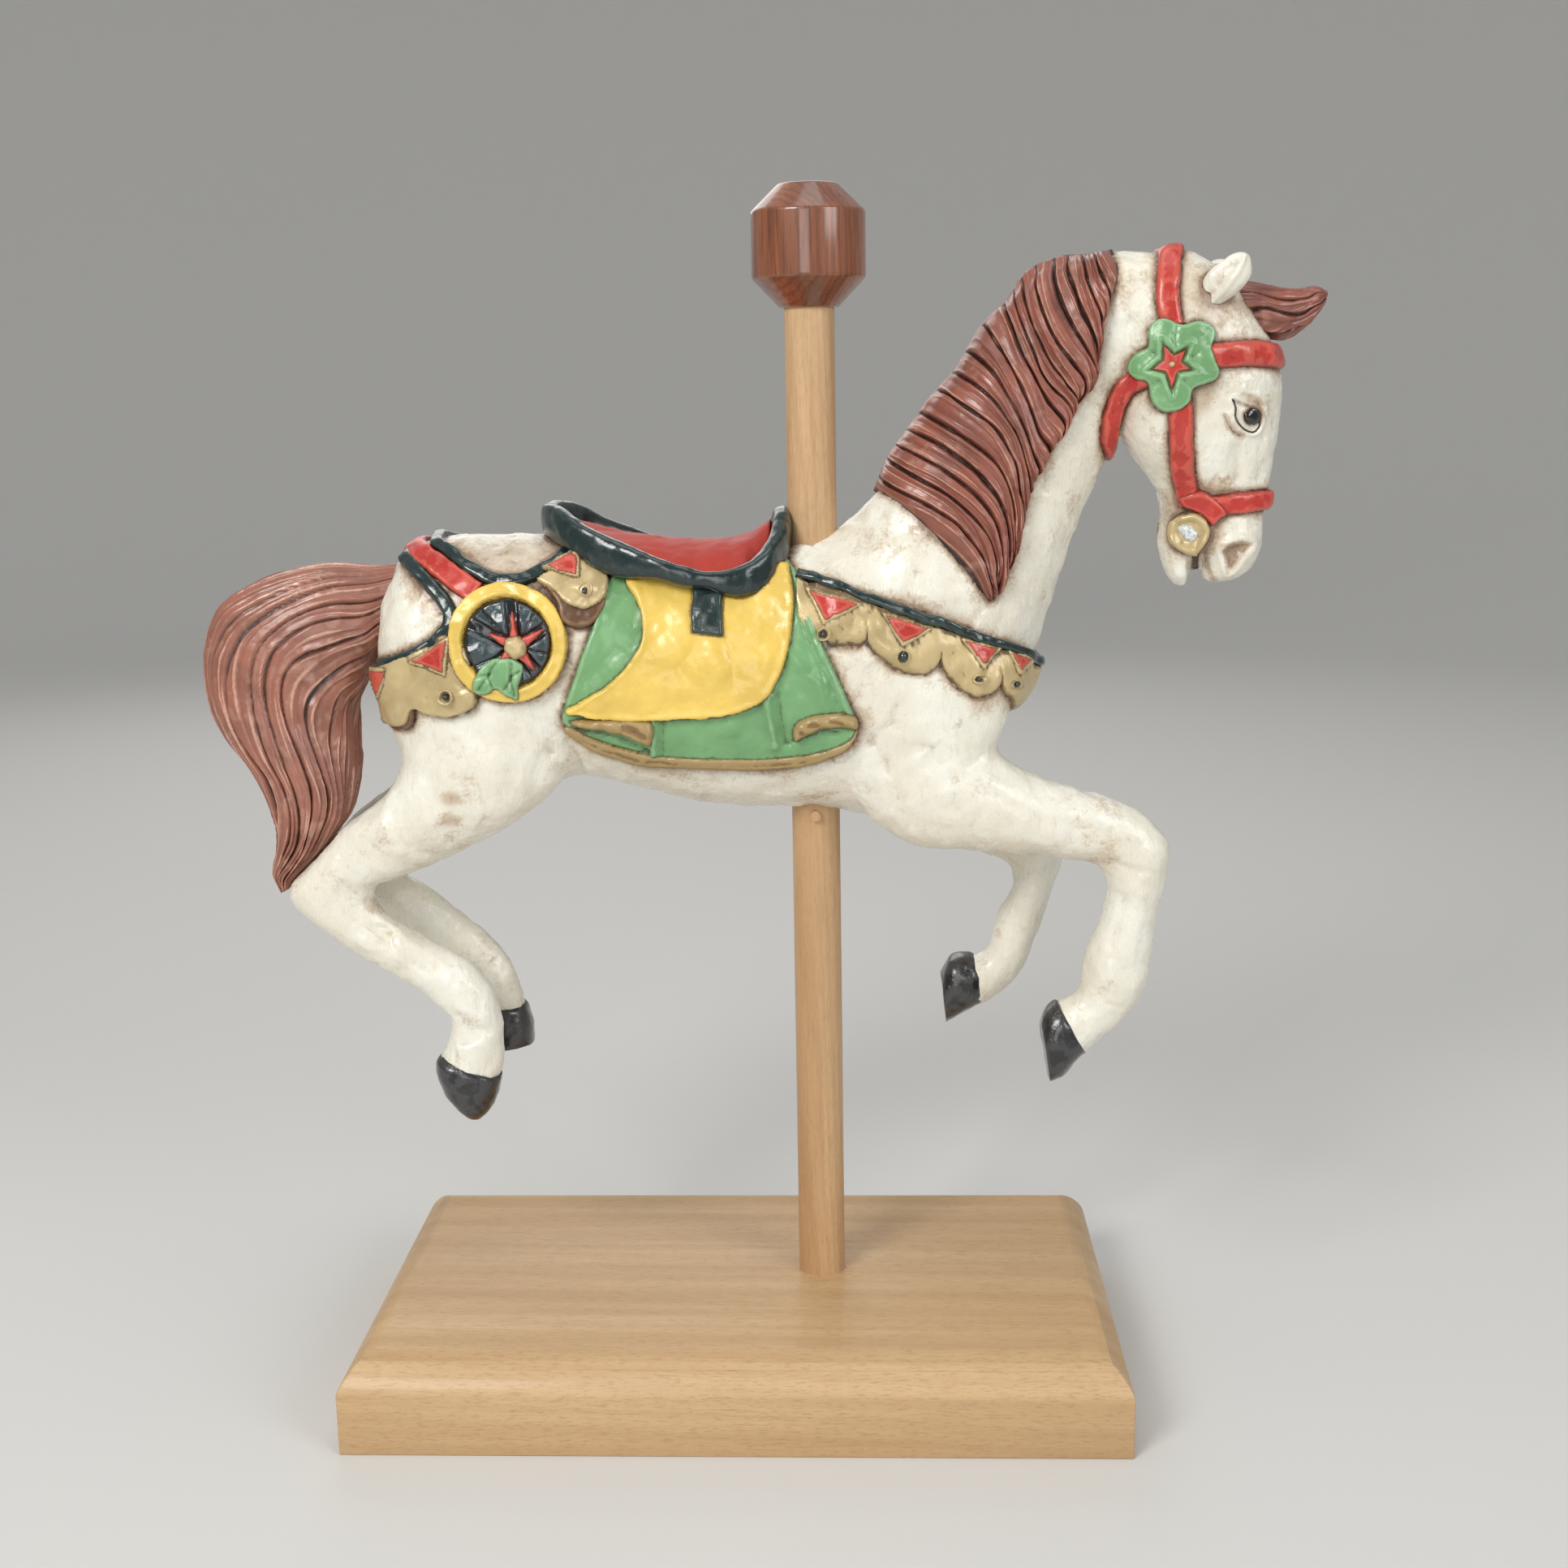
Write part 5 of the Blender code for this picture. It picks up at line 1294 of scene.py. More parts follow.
SADDLE_RIM = ((-69, 357.5, 345, 0), (-68, 357.3, 343.5, -10), (-64, 355, 340.5, -19),
              (-57, 349.5, 335.5, -25), (-47, 344.4, 329.2, -29.5), (-38, 340.3, 327.6, -32),
              (-28, 336, 327.2, -34), (-18, 332.4, 324.2, -34.5), (-8, 330.2, 323.2, -34.5),
              (2, 331.3, 319.8, -34), (10, 335, 320.5, -31), (16, 341, 325, -25.5),
              (20, 348, 330.5, -17), (21, 353.5, 336.5, -8), (20.5, 355, 340, 0))
RIM_HALF_THICKNESS = 3.7


def saddle_rim(per_span=14, sides=40):
    """Board round the seat, tallest at the cantle and the pommel."""
    half = []
    for x, upper, lower, depth in SADDLE_RIM:
        high, low = seen(x, upper, depth), seen(x, lower, depth)
        half.append((high.x, depth, (high.z + low.z) / 2, (high.z - low.z) / 2))
    loop = half + [(x, -y, z, tall) for x, y, z, tall in reversed(half[1:-1])]
    line = through(loop, per_span, closed=True)
    centre = line[:, :2].mean(0)
    points, faces = [], []
    for number, (x, y, z, tall) in enumerate(line):
        ahead = line[(number + 1) % len(line)] - line[number - 1]
        out = Vector((ahead[1], -ahead[0], 0)).normalized()
        if out.x * (x - centre[0]) + out.y * (y - centre[1]) < 0:
            out = -out
        for k in range(sides):
            angle = 2 * math.pi * k / sides
            reach = RIM_HALF_THICKNESS * power(math.cos(angle), 0.7)
            points.append(Vector((x, y, z)) + out * reach
                          + Vector((0, 0, tall * power(math.sin(angle), 0.7) + 0.12 * reach)))
    total = len(line)
    for row in range(total):
        for k in range(sides):
            a = row * sides + k
            b = row * sides + (k + 1) % sides
            c = ((row + 1) % total) * sides
            faces.append((a, b, c + (k + 1) % sides, c + k))
    return points, faces


def make_saddle(skin, coats):
    rings = []
    for x in np.linspace(-66, 17, 80):
        middle, edge, half = seat_line(x)
        ring = []
        for k in range(49):
            v = 2 * k / 48 - 1
            ring.append(Vector((x, v * half, middle - (middle - edge) * abs(v) ** 2)))
        ring += [Vector((p.x, p.y * 0.8, p.z - 5)) for p in reversed(ring)]
        rings.append(ring)
    points, faces = skin_of_rings(rings)
    seat = piece("saddle_seat", raw_mesh("saddle_seat", (points, faces)), coats["seat"])
    points, faces = saddle_rim()
    TRAPPINGS.append((points, faces))
    SHELLS["saddle_rim"] = (points, faces)
    rim = piece("saddle_rim", raw_mesh("saddle_rim", (points, faces)), coats["ink"])
    tree = BVHTree.FromPolygons([tuple(p) for p in points], faces)
    scaled = places_of(seat.data) / MM - np.array([0, 0, BELLY_RAISE])
    gaps = [tree.find_nearest(Vector(p))[3] for p in scaled]
    tone(seat, np.array(gaps), rim=1.5)
    tone(rim)
    flat_work("stirrup_straps", ((-14, 326), (-1.5, 326), (-2, 304), (-15.5, 305)), 8.6, skin,
              coats["ink"], step=0.8, sharp=True)


# Blanket, flap and folds

BLANKET = ((-47, 328), (-54, 310), (-59, 298), (-64, 285), (-68, 274), (-66, 269.5), (-58, 262),
           (-47, 257.5), (-35, 254.3), (-20, 253.3), (-5, 252.5), (10, 252), (25, 253), (38, 256),
           (46, 260.5), (49.5, 266), (49, 272), (44, 284), (38, 298), (33, 311), (28, 327),
           (20, 336), (0, 336), (-25, 336))
FLAP = ((-40, 327), (-36, 317), (-34.5, 310), (-36, 301), (-43, 292), (-52, 284.5), (-65, 278),
        (-66, 275), (-55, 272.5), (-35, 271.3), (-15, 271.8), (-2, 273), (10, 277), (16, 282),
        (21, 291), (24.5, 303), (26, 317), (25, 328), (22, 332), (0, 326), (-20, 327))
TRIM = ((-67, 268.5), (-58, 261), (-47, 256.6), (-35, 253.4), (-20, 252.5), (-5, 251.8),
        (10, 251.3), (25, 252.2), (38, 255.2), (46.5, 259.8), (50.2, 266), (49, 268), (46, 263.5),
        (38, 260), (25, 257.6), (10, 256.8), (-5, 256.9), (-20, 257.6), (-33, 259), (-45, 262),
        (-56, 266), (-64, 270.5))
FRONT_FOLD = ((24.5, 263), (24.5, 269.5), (31, 273.3), (41, 274.6), (49, 272.5), (50.5, 268),
              (47, 267.2), (40, 268), (34, 266.8), (29, 264.4))
REAR_FOLD = ((-65, 272.5), (-50, 273.5), (-31.5, 272.5), (-31.5, 262.5), (-36, 263.3),
             (-42, 266), (-50, 268), (-60, 269.3))


BLANKET_LINES = ((((-31, 272), (-31, 259)), 2.0, 1.8), (((-27.3, 272), (-27.3, 259)), -1.0, 0.9),
                 (((14, 280), (17, 262)), 2.2, 2.0), (((18.5, 282), (21.5, 262)), -1.2, 0.9),
                 (((24, 330), (30, 306), (35, 294), (41, 281), (46, 270)), -0.7, 0.7),
                 (((-62, 269), (-54, 267.6), (-45, 265.4), (-38, 262), (-33, 259.5)), -1.3, 0.8),
                 (((-60, 266.2), (-48, 261.6), (-38, 259.4), (-33, 259.4)), -1.0, 0.7),
                 (((22.5, 262), (30, 266), (37, 267.2), (42, 266)), -1.2, 0.8),
                 (((23, 299), (34, 285), (38, 276)), 0.8, 3.0),
                 (((-53, 315), (-58, 303), (-62, 290)), 0.5, 2.0),
                 (((35, 300), (37, 282), (33, 274)), 0.7, 3.0),
                 (((-45, 300), (-52, 292), (-60, 284)), -0.4, 2.5),
                 (((0, 268), (0, 259)), 0.4, 3.0))


def blanket_height(x, z):
    return with_lines(np.full(len(x), 3.0), x, z, BLANKET_LINES)


def flap_height(x, z):
    rise = 6.0 + 0.5 * np.exp(-((x + 5) / 22) ** 2 - ((z - 296) / 14) ** 2)
    rise += 0.5 * bell(line_gap(x, z, FLAP, closed=True) - 1.6, 1.0)
    return rise


def fold_height(x, z):
    return 6.4 + 0.5 * np.sin(x * 0.6 + z * 0.9)


def make_cloth(skin, coats):
    flat_work("saddle_blanket", BLANKET, blanket_height, skin, coats["green"], reach=0.8)
    flat_work("blanket_trim", TRIM, 4.0, skin, coats["trim"], step=0.8)
    flat_work("saddle_flap", FLAP, flap_height, skin, coats["yellow"], edge=1.0, reach=0.6)
    for name, outline in (("front_fold", FRONT_FOLD), ("rear_fold", REAR_FOLD)):
        flat_work(name, outline, fold_height, skin, coats["trim"], step=0.8, edge=2.4)


def settle_wash_and_shade():
    """Wash and painted contact shade along every edge where one piece lies on another."""
    for name, others, reach in (
            ("saddle_blanket", "saddle_flap front_fold rear_fold saddle_rim blanket_trim", 0.8),
            ("saddle_flap", "saddle_rim stirrup_straps", 0.8),
            ("rump_drape", "medallion_ring hip_straps rump_triangles_borders", 0.6),
            ("side_drape", "saddle_rim side_triangles_borders croup_strap", 0.6),
            ("breast_collar", "collar_strap collar_triangles_borders saddle_flap", 0.6),
            ("medallion_ring", "medallion_leaf croup_band croup_strap", 0.6),
            ("medallion_star", "medallion_hub medallion_leaf", 0.5),
            ("rump_triangles_borders", "rump_triangles", 0.45),
            ("side_triangles_borders", "side_triangles", 0.45),
            ("collar_triangles_borders", "collar_triangles", 0.45),
            ("crownpiece", "rosettes", 0.6), ("browband", "rosettes", 0.6),
            ("throatlatch", "rosettes", 0.6), ("cheekpieces", "rosettes bridle_joins", 0.6),
            ("noseband", "bridle_joins", 0.6), ("bridle_joins", "bit_rings", 0.6),
            ("rosettes", "rosette_stars", 0.6)):
        soiled_and_shaded(name, others.split(), reach)


# Croup, medallion and drapes

HIP_STRAP = ((-141, 292.7), (-134, 295.5), (-126, 298.5), (-118, 302.8), (-112.5, 308),
             (-110.5, 314), (-113.5, 321), (-119.5, 328), (-125.5, 335), (-127.5, 339))
CROUP_BAND = ((-100, 322.5), (-107.5, 328), (-114, 333.5), (-120.5, 339.5, -19), (-124, 343.5, 0))
CROUP_STRAP = ((-60, 340), (-66, 335.5), (-72, 331.5), (-78, 328.7), (-85, 327.2), (-92, 327.6),
               (-98, 330), (-104, 334), (-110, 339), (-115, 344, -14), (-113, 346.5, 0))
RUMP_DRAPE = ((-141.5, 293), (-141, 283), (-139.5, 276), (-136, 271), (-130, 271), (-127, 276.5),
              (-121, 274.8), (-113, 273.5), (-106, 275.5), (-101, 281), (-104, 300), (-113, 307),
              (-124, 301), (-134, 296.5))
SIDE_DRAPE = ((-76, 327), (-68, 331.5), (-60, 338), (-54, 335), (-47, 328), (-48, 321),
              (-52, 316.5), (-58, 315), (-65, 318), (-70, 323))
SIDE_UNDER = ((-72, 325), (-68, 318), (-66.5, 311), (-61, 308.3), (-54, 309.3), (-49.5, 314.5),
              (-48.5, 320), (-58, 322))
RUMP_UNDER = ((-139, 279), (-132, 280), (-127, 278), (-127.5, 271), (-132, 268.5), (-137, 270.5))
RUMP_TRIANGLES = (((-125, 296.5), (-112, 304.5), (-114, 292.5)),
                  ((-141, 292), (-135.5, 292), (-139, 283)))
SIDE_TRIANGLES = (((-71, 331), (-60.5, 335), (-60, 328)),)
LEAF = ((-92.3, 297.6), (-97.6, 295.5), (-100.2, 292), (-102.3, 287.7), (-101.9, 284.2),
        (-97.6, 282.7), (-93.2, 285.1), (-90.6, 283.7), (-87.5, 281.6), (-84.5, 280.6),
        (-83.7, 283.3), (-84, 286.8), (-82.3, 290.3), (-81.9, 294.7), (-86.3, 297.3))
LEAF_VEINS = (((-91, 297), (-95, 291), (-100, 285.5)),
              ((-86.5, 296), (-86.8, 289), (-85.5, 282.5)), ((-95, 291), (-100.5, 290)),
              ((-95.5, 290), (-94, 286)), ((-86.8, 290), (-83.5, 292)),
              ((-86.8, 289), (-89.5, 285.5)))
MEDALLION = (-88.0, 303.0)
HUB = (-84.5, 301.5)
STAR_TIPS = ((95, 17.0), (32, 16.0), (-53.5, 14.3), (152.6, 15.2), (222, 14.0))


def ring_height(x, z):
    reach = np.hypot(x - MEDALLION[0], z - MEDALLION[1])
    return 2.0 + 2.8 * ramp(reach, 17.4, 18.5) - 0.3 * bell(reach - 21, 1.8)


def wedge_height(x, z):
    """Five raised wedges between the star's rays, with deep grooves round them."""
    reach = np.hypot(x - MEDALLION[0], z - MEDALLION[1])
    turn = np.degrees(np.arctan2(z - HUB[1], x - HUB[0]))
    apart = np.full(len(x), 180.0)
    for angle, _ in STAR_TIPS:
        apart = np.minimum(apart, np.abs((turn - angle + 180) % 360 - 180))
    side = np.hypot(x - HUB[0], z - HUB[1]) * np.sin(np.radians(np.minimum(apart, 90)))
    middle = np.abs((turn - 60 + 180) % 72 - 36)
    split = np.hypot(x - HUB[0], z - HUB[1]) * np.sin(np.radians(middle))
    return 3.0 + 1.6 * ramp(side, 1.9, 3.0) * ramp(16.9 - reach, 0, 1.2) - 0.9 * bell(split, 0.5)


def drape_height(x, z):
    """Broad soft facets."""
    rise = 3.6 + 0.5 * np.sin(x * 0.23 + 0.9) * np.cos(z * 0.31 + x * 0.11)
    return rise + 0.4 * np.sin(x * 0.47 - z * 0.38)


def side_drape_height(x, z):
    return drape_height(x, z) + 2.6


def leaf_height(x, z):
    return with_lines(np.full(len(x), 6.0), x, z, [(vein, -0.9, 0.6) for vein in LEAF_VEINS])


def triangles(name, corners, height, skin, coats):
    """Red enamel triangles, each on a gold border."""
    def grown(three, by):
        three = np.array(three, dtype=float)
        middle = three.mean(0)
        outward = three - middle
        return middle + outward * (1 + by / np.linalg.norm(outward, axis=1, keepdims=True))
    border = [plate(grown(t, 3.2), height, skin, side, step=0.6, edge=0.7, sharp=True)
              for t in corners for side in (NEAR, FAR)]
    inner = [plate(grown(t, 1.2), height + 0.35, skin, side, step=0.6, edge=0.4, sharp=True)
             for t in corners for side in (NEAR, FAR)]
    relief(name + "_borders", border, coats["gold"], rim=0.6)
    relief(name, inner, coats["red"], rim=0.45)


def jewels(name, spots, height, skin, coats):
    """Dark glass drops in gold rims."""
    rims, stones = [], []
    for x, z, radius in spots:
        def cup(px, pz, x=x, z=z, radius=radius):
            reach = np.hypot(px - x, pz - z) / radius
            return height + 0.7 * bell(reach - 0.84, 0.16) - 1.0 * ramp(0.74 - reach, 0, 0.12)
        for side in (NEAR, FAR):
            rims.append(plate(disc(x, z, radius, 24), cup, skin, side, step=0.45, edge=0.6))
            stones.append(plate(disc(x, z, radius * 0.66, 20), height + 0.7, skin, side, step=0.4,
                                edge=radius * 0.6))
    relief(name + "_rims", rims, coats["gold"], rim=0.5)
    relief(name, stones, coats["jewel"], rim=0.2)


def make_croup(skin, coats):
    dark = coats["ink"]
    bands("hip_straps", HIP_STRAP, 2.8, 2.9, skin, dark)
    bands("croup_band", CROUP_BAND, 4.6, 2.6, skin, coats["red"], over_top=True, full=9.0)
    bands("croup_strap", CROUP_STRAP, 2.7, 2.9, skin, dark, over_top=True)
    for name, outline, height, coat in (
            # Lower layers of the drapes in brown paint: the gold in painted shade under the drapes'
            # overhangs.
            ("rump_drape_shaded_layer", RUMP_UNDER, 2.2, "brown"),
            ("side_drape_shaded_layer", SIDE_UNDER, 4.0, "brown"),
            ("rump_drape", RUMP_DRAPE, drape_height, "gold"),
            ("side_drape", SIDE_DRAPE, side_drape_height, "gold"),
            ("medallion_ring", disc(*MEDALLION, 24.0), ring_height, "yellow")):
        flat_work(name, outline, height, skin, coats[coat], step=0.8)
    field = flat_work("medallion_field", disc(*MEDALLION, 17.8), wedge_height, skin, coats["slate"],
                      step=0.6, rim=1.4)
    flat = places_of(field.data) / MM - np.array([0.0, 0.0, BELLY_RAISE])
    more_stain(field, 1.3 * ramp(4.4 - wedge_height(*pictured(flat)), 0.1, 0.8))
    flat_work("medallion_star", rays(*HUB, STAR_TIPS, 4.5), 5.2, skin, coats["red"], step=0.6,
              edge=1.4, sharp=True)
    flat_work("medallion_hub", rays(*HUB, [(20 + 60 * k, 5.3) for k in range(6)], 4.9), 7.0, skin,
              coats["gold"], step=0.5, edge=2.5)
    flat_work("medallion_leaf", LEAF, leaf_height, skin, coats["green"], step=0.6)
    triangles("rump_triangles", RUMP_TRIANGLES, 4.3, skin, coats)
    triangles("side_triangles", SIDE_TRIANGLES, 6.8, skin, coats)
    jewels("rump_jewels", [(-113, 282, 3.3)], 4.9, skin, coats)
    jewels("side_jewels", [(-56.5, 322.5, 2.9)], 7.0, skin, coats)


# Breast collar

COLLAR = ((27, 325.5), (54, 316.5), (82, 306.5), (104, 298), (118, 292, 0))


COLLAR_TRIANGLES = (((32, 322), (50, 316), (37.5, 310.5)),
                    ((61, 312.5), (77.5, 306.5), (68, 302)),
                    ((91.5, 301.5), (103, 298.5), (98, 292.5)),
                    ((108.8, 296), (114.6, 294.2), (111.6, 289.8)))
COLLAR_JEWELS = ((37, 304.8, 2.9), (68, 296, 2.8), (97, 286.5, 2.6), (110.6, 284.4, 2.0))


def scallops(share):
    lobes = 2 * (len(COLLAR) - 1)
    return 0.0, 12.0 + 9.0 * abs(math.sin(math.pi * lobes * share)) ** 0.55


def make_collar(skin, coats):
    # rim=1.5 widens the dark edge of the collar: wash, and painted shade of the folds along its
    # lower edge.
    bands("breast_collar", COLLAR, scallops, 3.8, skin, coats["gold"], over_top=True, per_span=40,
          across=28, hang=True, rim=1.5)
    upper = [(x, z + 2, *rest) for x, z, *rest in COLLAR]
    bands("collar_strap", upper, 2.2, 5.0, skin, coats["ink"], over_top=True, per_span=24)
    triangles("collar_triangles", COLLAR_TRIANGLES, 4.9, skin, coats)
    jewels("collar_jewels", COLLAR_JEWELS, 4.9, skin, coats)


# Bridle and face

ROSETTE = ((161, 418.5), (162.5, 421.8), (166, 423.3), (170, 422), (174, 420.6), (178, 421.8),
           (182, 421.6), (185, 419.4), (186, 416), (184.8, 411.5), (186, 408), (188, 403.5),
           (186.8, 400.2), (183, 398.6), (178.6, 396.6), (177.4, 392), (174, 389), (170, 388),
           (166, 389), (163, 392), (161.8, 396), (161, 399.4), (157.5, 400.6), (154, 403),
           (153.4, 406), (155, 409), (158.5, 411.4), (161, 412.8), (161.2, 415.6))
ROSETTE_MIDDLE = (170.0, 406.0)
ROSETTE_TIPS = ((112, 8.9), (49, 8.7), (-17, 8.5), (-88, 10.7), (194, 7.9))


BRIDLE_HEIGHT = 2.6
CROWNPIECE = ((170, 420), (168, 432), (168.5, 444, -8), (169, 449, 0))
BROWBAND = ((184, 409), (200, 409.7), (209, 409.3, -12), (213, 409.3, 0))
NOSEBAND = ((182, 352), (195, 353.5), (204, 354.5, -9), (208, 355, 0))
CHEEKPIECE = ((173.5, 394), (174.5, 378), (176, 364), (178.6, 353))
THROATLATCH = ((162, 402), (153, 397.5), (148.5, 388), (149.3, 378, -10), (150.5, 373, 0))
BRIDLE_JOIN = ((174.4, 357), (183, 358.5), (190, 354), (193, 349.4), (190, 347.6), (187.4, 345),
               (184.5, 347.4), (180, 350.6), (176, 352))
BIT = (178.5, 342.7)
CRYSTAL = ((173.6, 344.4), (176.3, 346.6), (179.5, 346.3), (182.3, 343.3), (182.3, 340.7),
           (179.8, 338.4), (176.7, 340))


def rosette_height(x, z):
    outline = rays(*ROSETTE_MIDDLE, [(a, r + 1.3) for a, r in ROSETTE_TIPS], 4.6)
    gap = line_gap(x, z, outline, closed=True)
    inside = is_inside(x, z, np.array(outline))
    rise = 4.0 + np.where(inside, -1.1 * ramp(gap, 0, 0.7), 0.4 * bell(gap - 1.0, 0.8))
    for angle in (84, 22, -48, -130, 148):
        turn = math.radians(angle)
        fold = [(ROSETTE_MIDDLE[0] + far * math.cos(turn),
                 ROSETTE_MIDDLE[1] + far * math.sin(turn)) for far in (8, 15)]
        rise = rise - 0.5 * bell(line_gap(x, z, fold), 1.2)
    return rise


def bit_height(x, z):
    reach = np.hypot(x - BIT[0], z - BIT[1])
    return 3.4 + 1.9 * bell(reach - 6.2, 1.6)


def make_bridle(skin, coats):
    red = coats["red"]
    for name, path, half_width, over_top in (
            ("crownpiece", CROWNPIECE, 4.4, True), ("browband", BROWBAND, 4.8, True),
            ("noseband", NOSEBAND, 4.0, True), ("cheekpieces", CHEEKPIECE, 4.5, False)):
        bands(name, path, half_width, BRIDLE_HEIGHT, skin, red, over_top=over_top)
    flat_work("bridle_joins", BRIDLE_JOIN, 2.9, skin, red, step=0.7, edge=1.6)
    bands("throatlatch", THROATLATCH, 4.0, BRIDLE_HEIGHT, skin, red, over_top=True)
    flat_work("rosettes", ROSETTE, rosette_height, skin, coats["green"], step=0.6)
    flat_work("rosette_stars", rays(*ROSETTE_MIDDLE, ROSETTE_TIPS, 3.7), 3.6, skin, red, step=0.5,
              edge=0.5, sharp=True)
    flat_work("rosette_centres", disc(*ROSETTE_MIDDLE, 1.9, 16), 4.8, skin, coats["gold"], step=0.4,
              edge=1.4)
    flat_work("bit_rings", disc(*BIT, 8.0), bit_height, skin, coats["gold"], step=0.6)
    flat_work("bit_crystals", CRYSTAL, 4.8, skin, coats["crystal"], step=0.5, edge=2.0, sharp=True)
    flat_work("irises", disc(*IRIS, 3.1, 30), 0.9, skin, coats["eye"], step=0.35, edge=3.0)


# Stand

POLE_X = 0.033
POLE_RADIUS = 0.009525
POLE_FOOT = 0.0170
POLE_IN_KNOB = 0.010
FLAT_CORE = 0.004
KNOB_TOP = 0.4745
KNOB = ((0.0110, 0.0450), (0.0216, 0.0340), (0.0216, 0.0100), (0.0112, 0.0))
BOARD = (0.3047, 0.1669, 0.0381)
BOARD_EDGE = 0.0136


def turned(profile, sides=96, rounding=0.0):
    """Turned solid about the pole's axis, from its profile of radius and height."""
    line = [np.array(mark, dtype=float) for mark in profile]
    marks = [line[0]]
    for before, corner, after in zip(line, line[1:], line[2:]):
        back = before - corner
        ahead = after - corner
        start = corner + back / np.linalg.norm(back) * rounding
        finish = corner + ahead / np.linalg.norm(ahead) * rounding
        for share in np.linspace(0, 1, 7):
            marks.append((1 - share) ** 2 * start + 2 * share * (1 - share) * corner
                         + share ** 2 * finish)
    marks.append(line[-1])
    rings = [[Vector((POLE_X + r * math.cos(2 * math.pi * k / sides),
                      r * math.sin(2 * math.pi * k / sides), z)) for k in range(sides)]
             for r, z in marks]
    return skin_of_rings(rings)


def stand_piece(name, node, shell, coat):
    mesh = raw_mesh(name, shell)
    thing = bpy.data.objects.new(name, mesh)
    bpy.context.scene.collection.objects.link(thing)
    mesh.materials.append(coat)
    mesh.shade_smooth()
    mesh.set_sharp_from_angle(angle=math.radians(50))
    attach(thing, "root")
    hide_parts(node)
    return thing


def make_board(coat):
    box = bmesh.new()
    bmesh.ops.create_cube(box, size=1.0)
    bmesh.ops.scale(box, vec=BOARD, verts=box.verts)
    bmesh.ops.translate(box, vec=(0, 0, BOARD[2] / 2), verts=box.verts)
    upper = [e for e in box.edges if all(v.co.z > BOARD[2] / 2 for v in e.verts)]
    bmesh.ops.bevel(box, geom=upper, offset=BOARD_EDGE, segments=24, profile=0.38, affect="EDGES",
                    clamp_overlap=False)
    rest = [e for e in box.edges if e.calc_face_angle(0) > math.radians(60)]
    bmesh.ops.bevel(box, geom=rest, offset=0.0006, segments=3, profile=0.5, affect="EDGES")
    points = [Vector(v.co) for v in box.verts]
    box.verts.index_update()
    faces = [tuple(v.index for v in f.verts) for f in box.faces]
    box.free()
    stand_piece("wooden_base", "base", (points, faces), coat)


def make_stand(coats):
    head = KNOB_TOP - KNOB[0][1] + POLE_IN_KNOB
    dowel = turned(((FLAT_CORE, POLE_FOOT), (POLE_RADIUS, POLE_FOOT), (POLE_RADIUS, head),
                    (FLAT_CORE, head)), rounding=0.0004)
    stand_piece("dowel", "pole", dowel, coats["birch"])
    knob = turned([(FLAT_CORE / 2, KNOB_TOP - KNOB[0][1])]
                  + [(r, KNOB_TOP - drop) for r, drop in KNOB]
                  + [(FLAT_CORE / 2, KNOB_TOP)], rounding=0.0009)
    stand_piece("turned_knob", "finial", knob, coats["walnut"])
    make_board(coats["maple"])
    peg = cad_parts["pole_peg"]
    for slot in peg.material_slots:
        slot.material = coats["birch"]


STAINS = ((-115, 240, 5, 3.5, 0.9), (-115, 231, 5, 3, 0.7), (-88, 338, 17, 6.5, 0.85),
          (-122, 322, 6, 8, 0.5), (-165, 205, 8, 6, 0.35), (60, 340, 14, 8, 0.5),
          (146, 366, 5, 9, 0.5), (128, 298, 5, 6, 0.5), (46, 352, 8, 5, 0.4),
          (-146, 226, 6, 6, 0.35), (36, 240, 10, 4, 0.4), (152, 236, 6, 4, 0.3),
          (125, 320, 5, 18, 0.35), (134, 350, 5, 16, 0.4), (182, 430, 6, 6, 0.5),
          (192, 424, 5, 4, 0.4), (190, 342, 4, 6, 0.45), (172, 355, 5, 6, 0.4),
          (188, 358, 8, 3, 0.4), (184, 392, 4, 6, 0.5), (177, 438, 4, 6, 0.45),
          (-150, 195, 8, 4, 0.4), (-112, 147, 5, 5, 0.4), (150, 158, 6, 5, 0.35),
          (152, 214, 8, 5, 0.3), (104, 244, 8, 5, 0.25), (-70, 254, 6, 8, 0.35))


def stains(x, z):
    """Rubbed brown patches that are not in a hollow."""
    out = np.zeros_like(x)
    for cx, cz, wide, tall, share in STAINS:
        out = np.maximum(out, share * np.exp(-((x - cx) / wide) ** 2 - ((z - cz) / tall) ** 2))
    return out


def make_flesh(head_mesh, body_mesh, coats):
    points, faces = joined(TRAPPINGS)
    tree = BVHTree.FromPolygons(points, faces)
    for name, mesh in (("horse_head", head_mesh), ("horse_body", body_mesh)):
        places = places_of(mesh)
        x, z = pictured(places)
        gaps = np.full(len(places), 9.0)
        for number, place in enumerate(places.tolist()):
            hit = tree.find_nearest(Vector(place), 7.0)
            if hit[0] is not None:
                gaps[number] = hit[3]
        patchy = np.clip(0.75 + 0.6 * lumps(places, 13.0, 6), 0, 1.4)
        stain = 1.1 * bell(gaps, 1.4) + 0.55 * bell(gaps, 6.0) * patchy + stains(x, z)
        stain += 0.30 * np.clip(lumps(places, 22.0, 7), 0, 1)
        # Dark line on the skin along the trappings' edges: painted contact shade where they meet
        # the skin.
        ink = 0.75 * bell(gaps, 0.8)
        if name == "horse_head":
            _, lines, rub = face_relief(x, z)
            ink = np.maximum(ink, lines)
            stain += rub
        thing = piece(name, mesh, coats["ivory"], rough=False)
        tone(thing, rounds=12, reach=0.45, stain=stain, ink=ink)
        if name == "horse_body":
            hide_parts("horse")


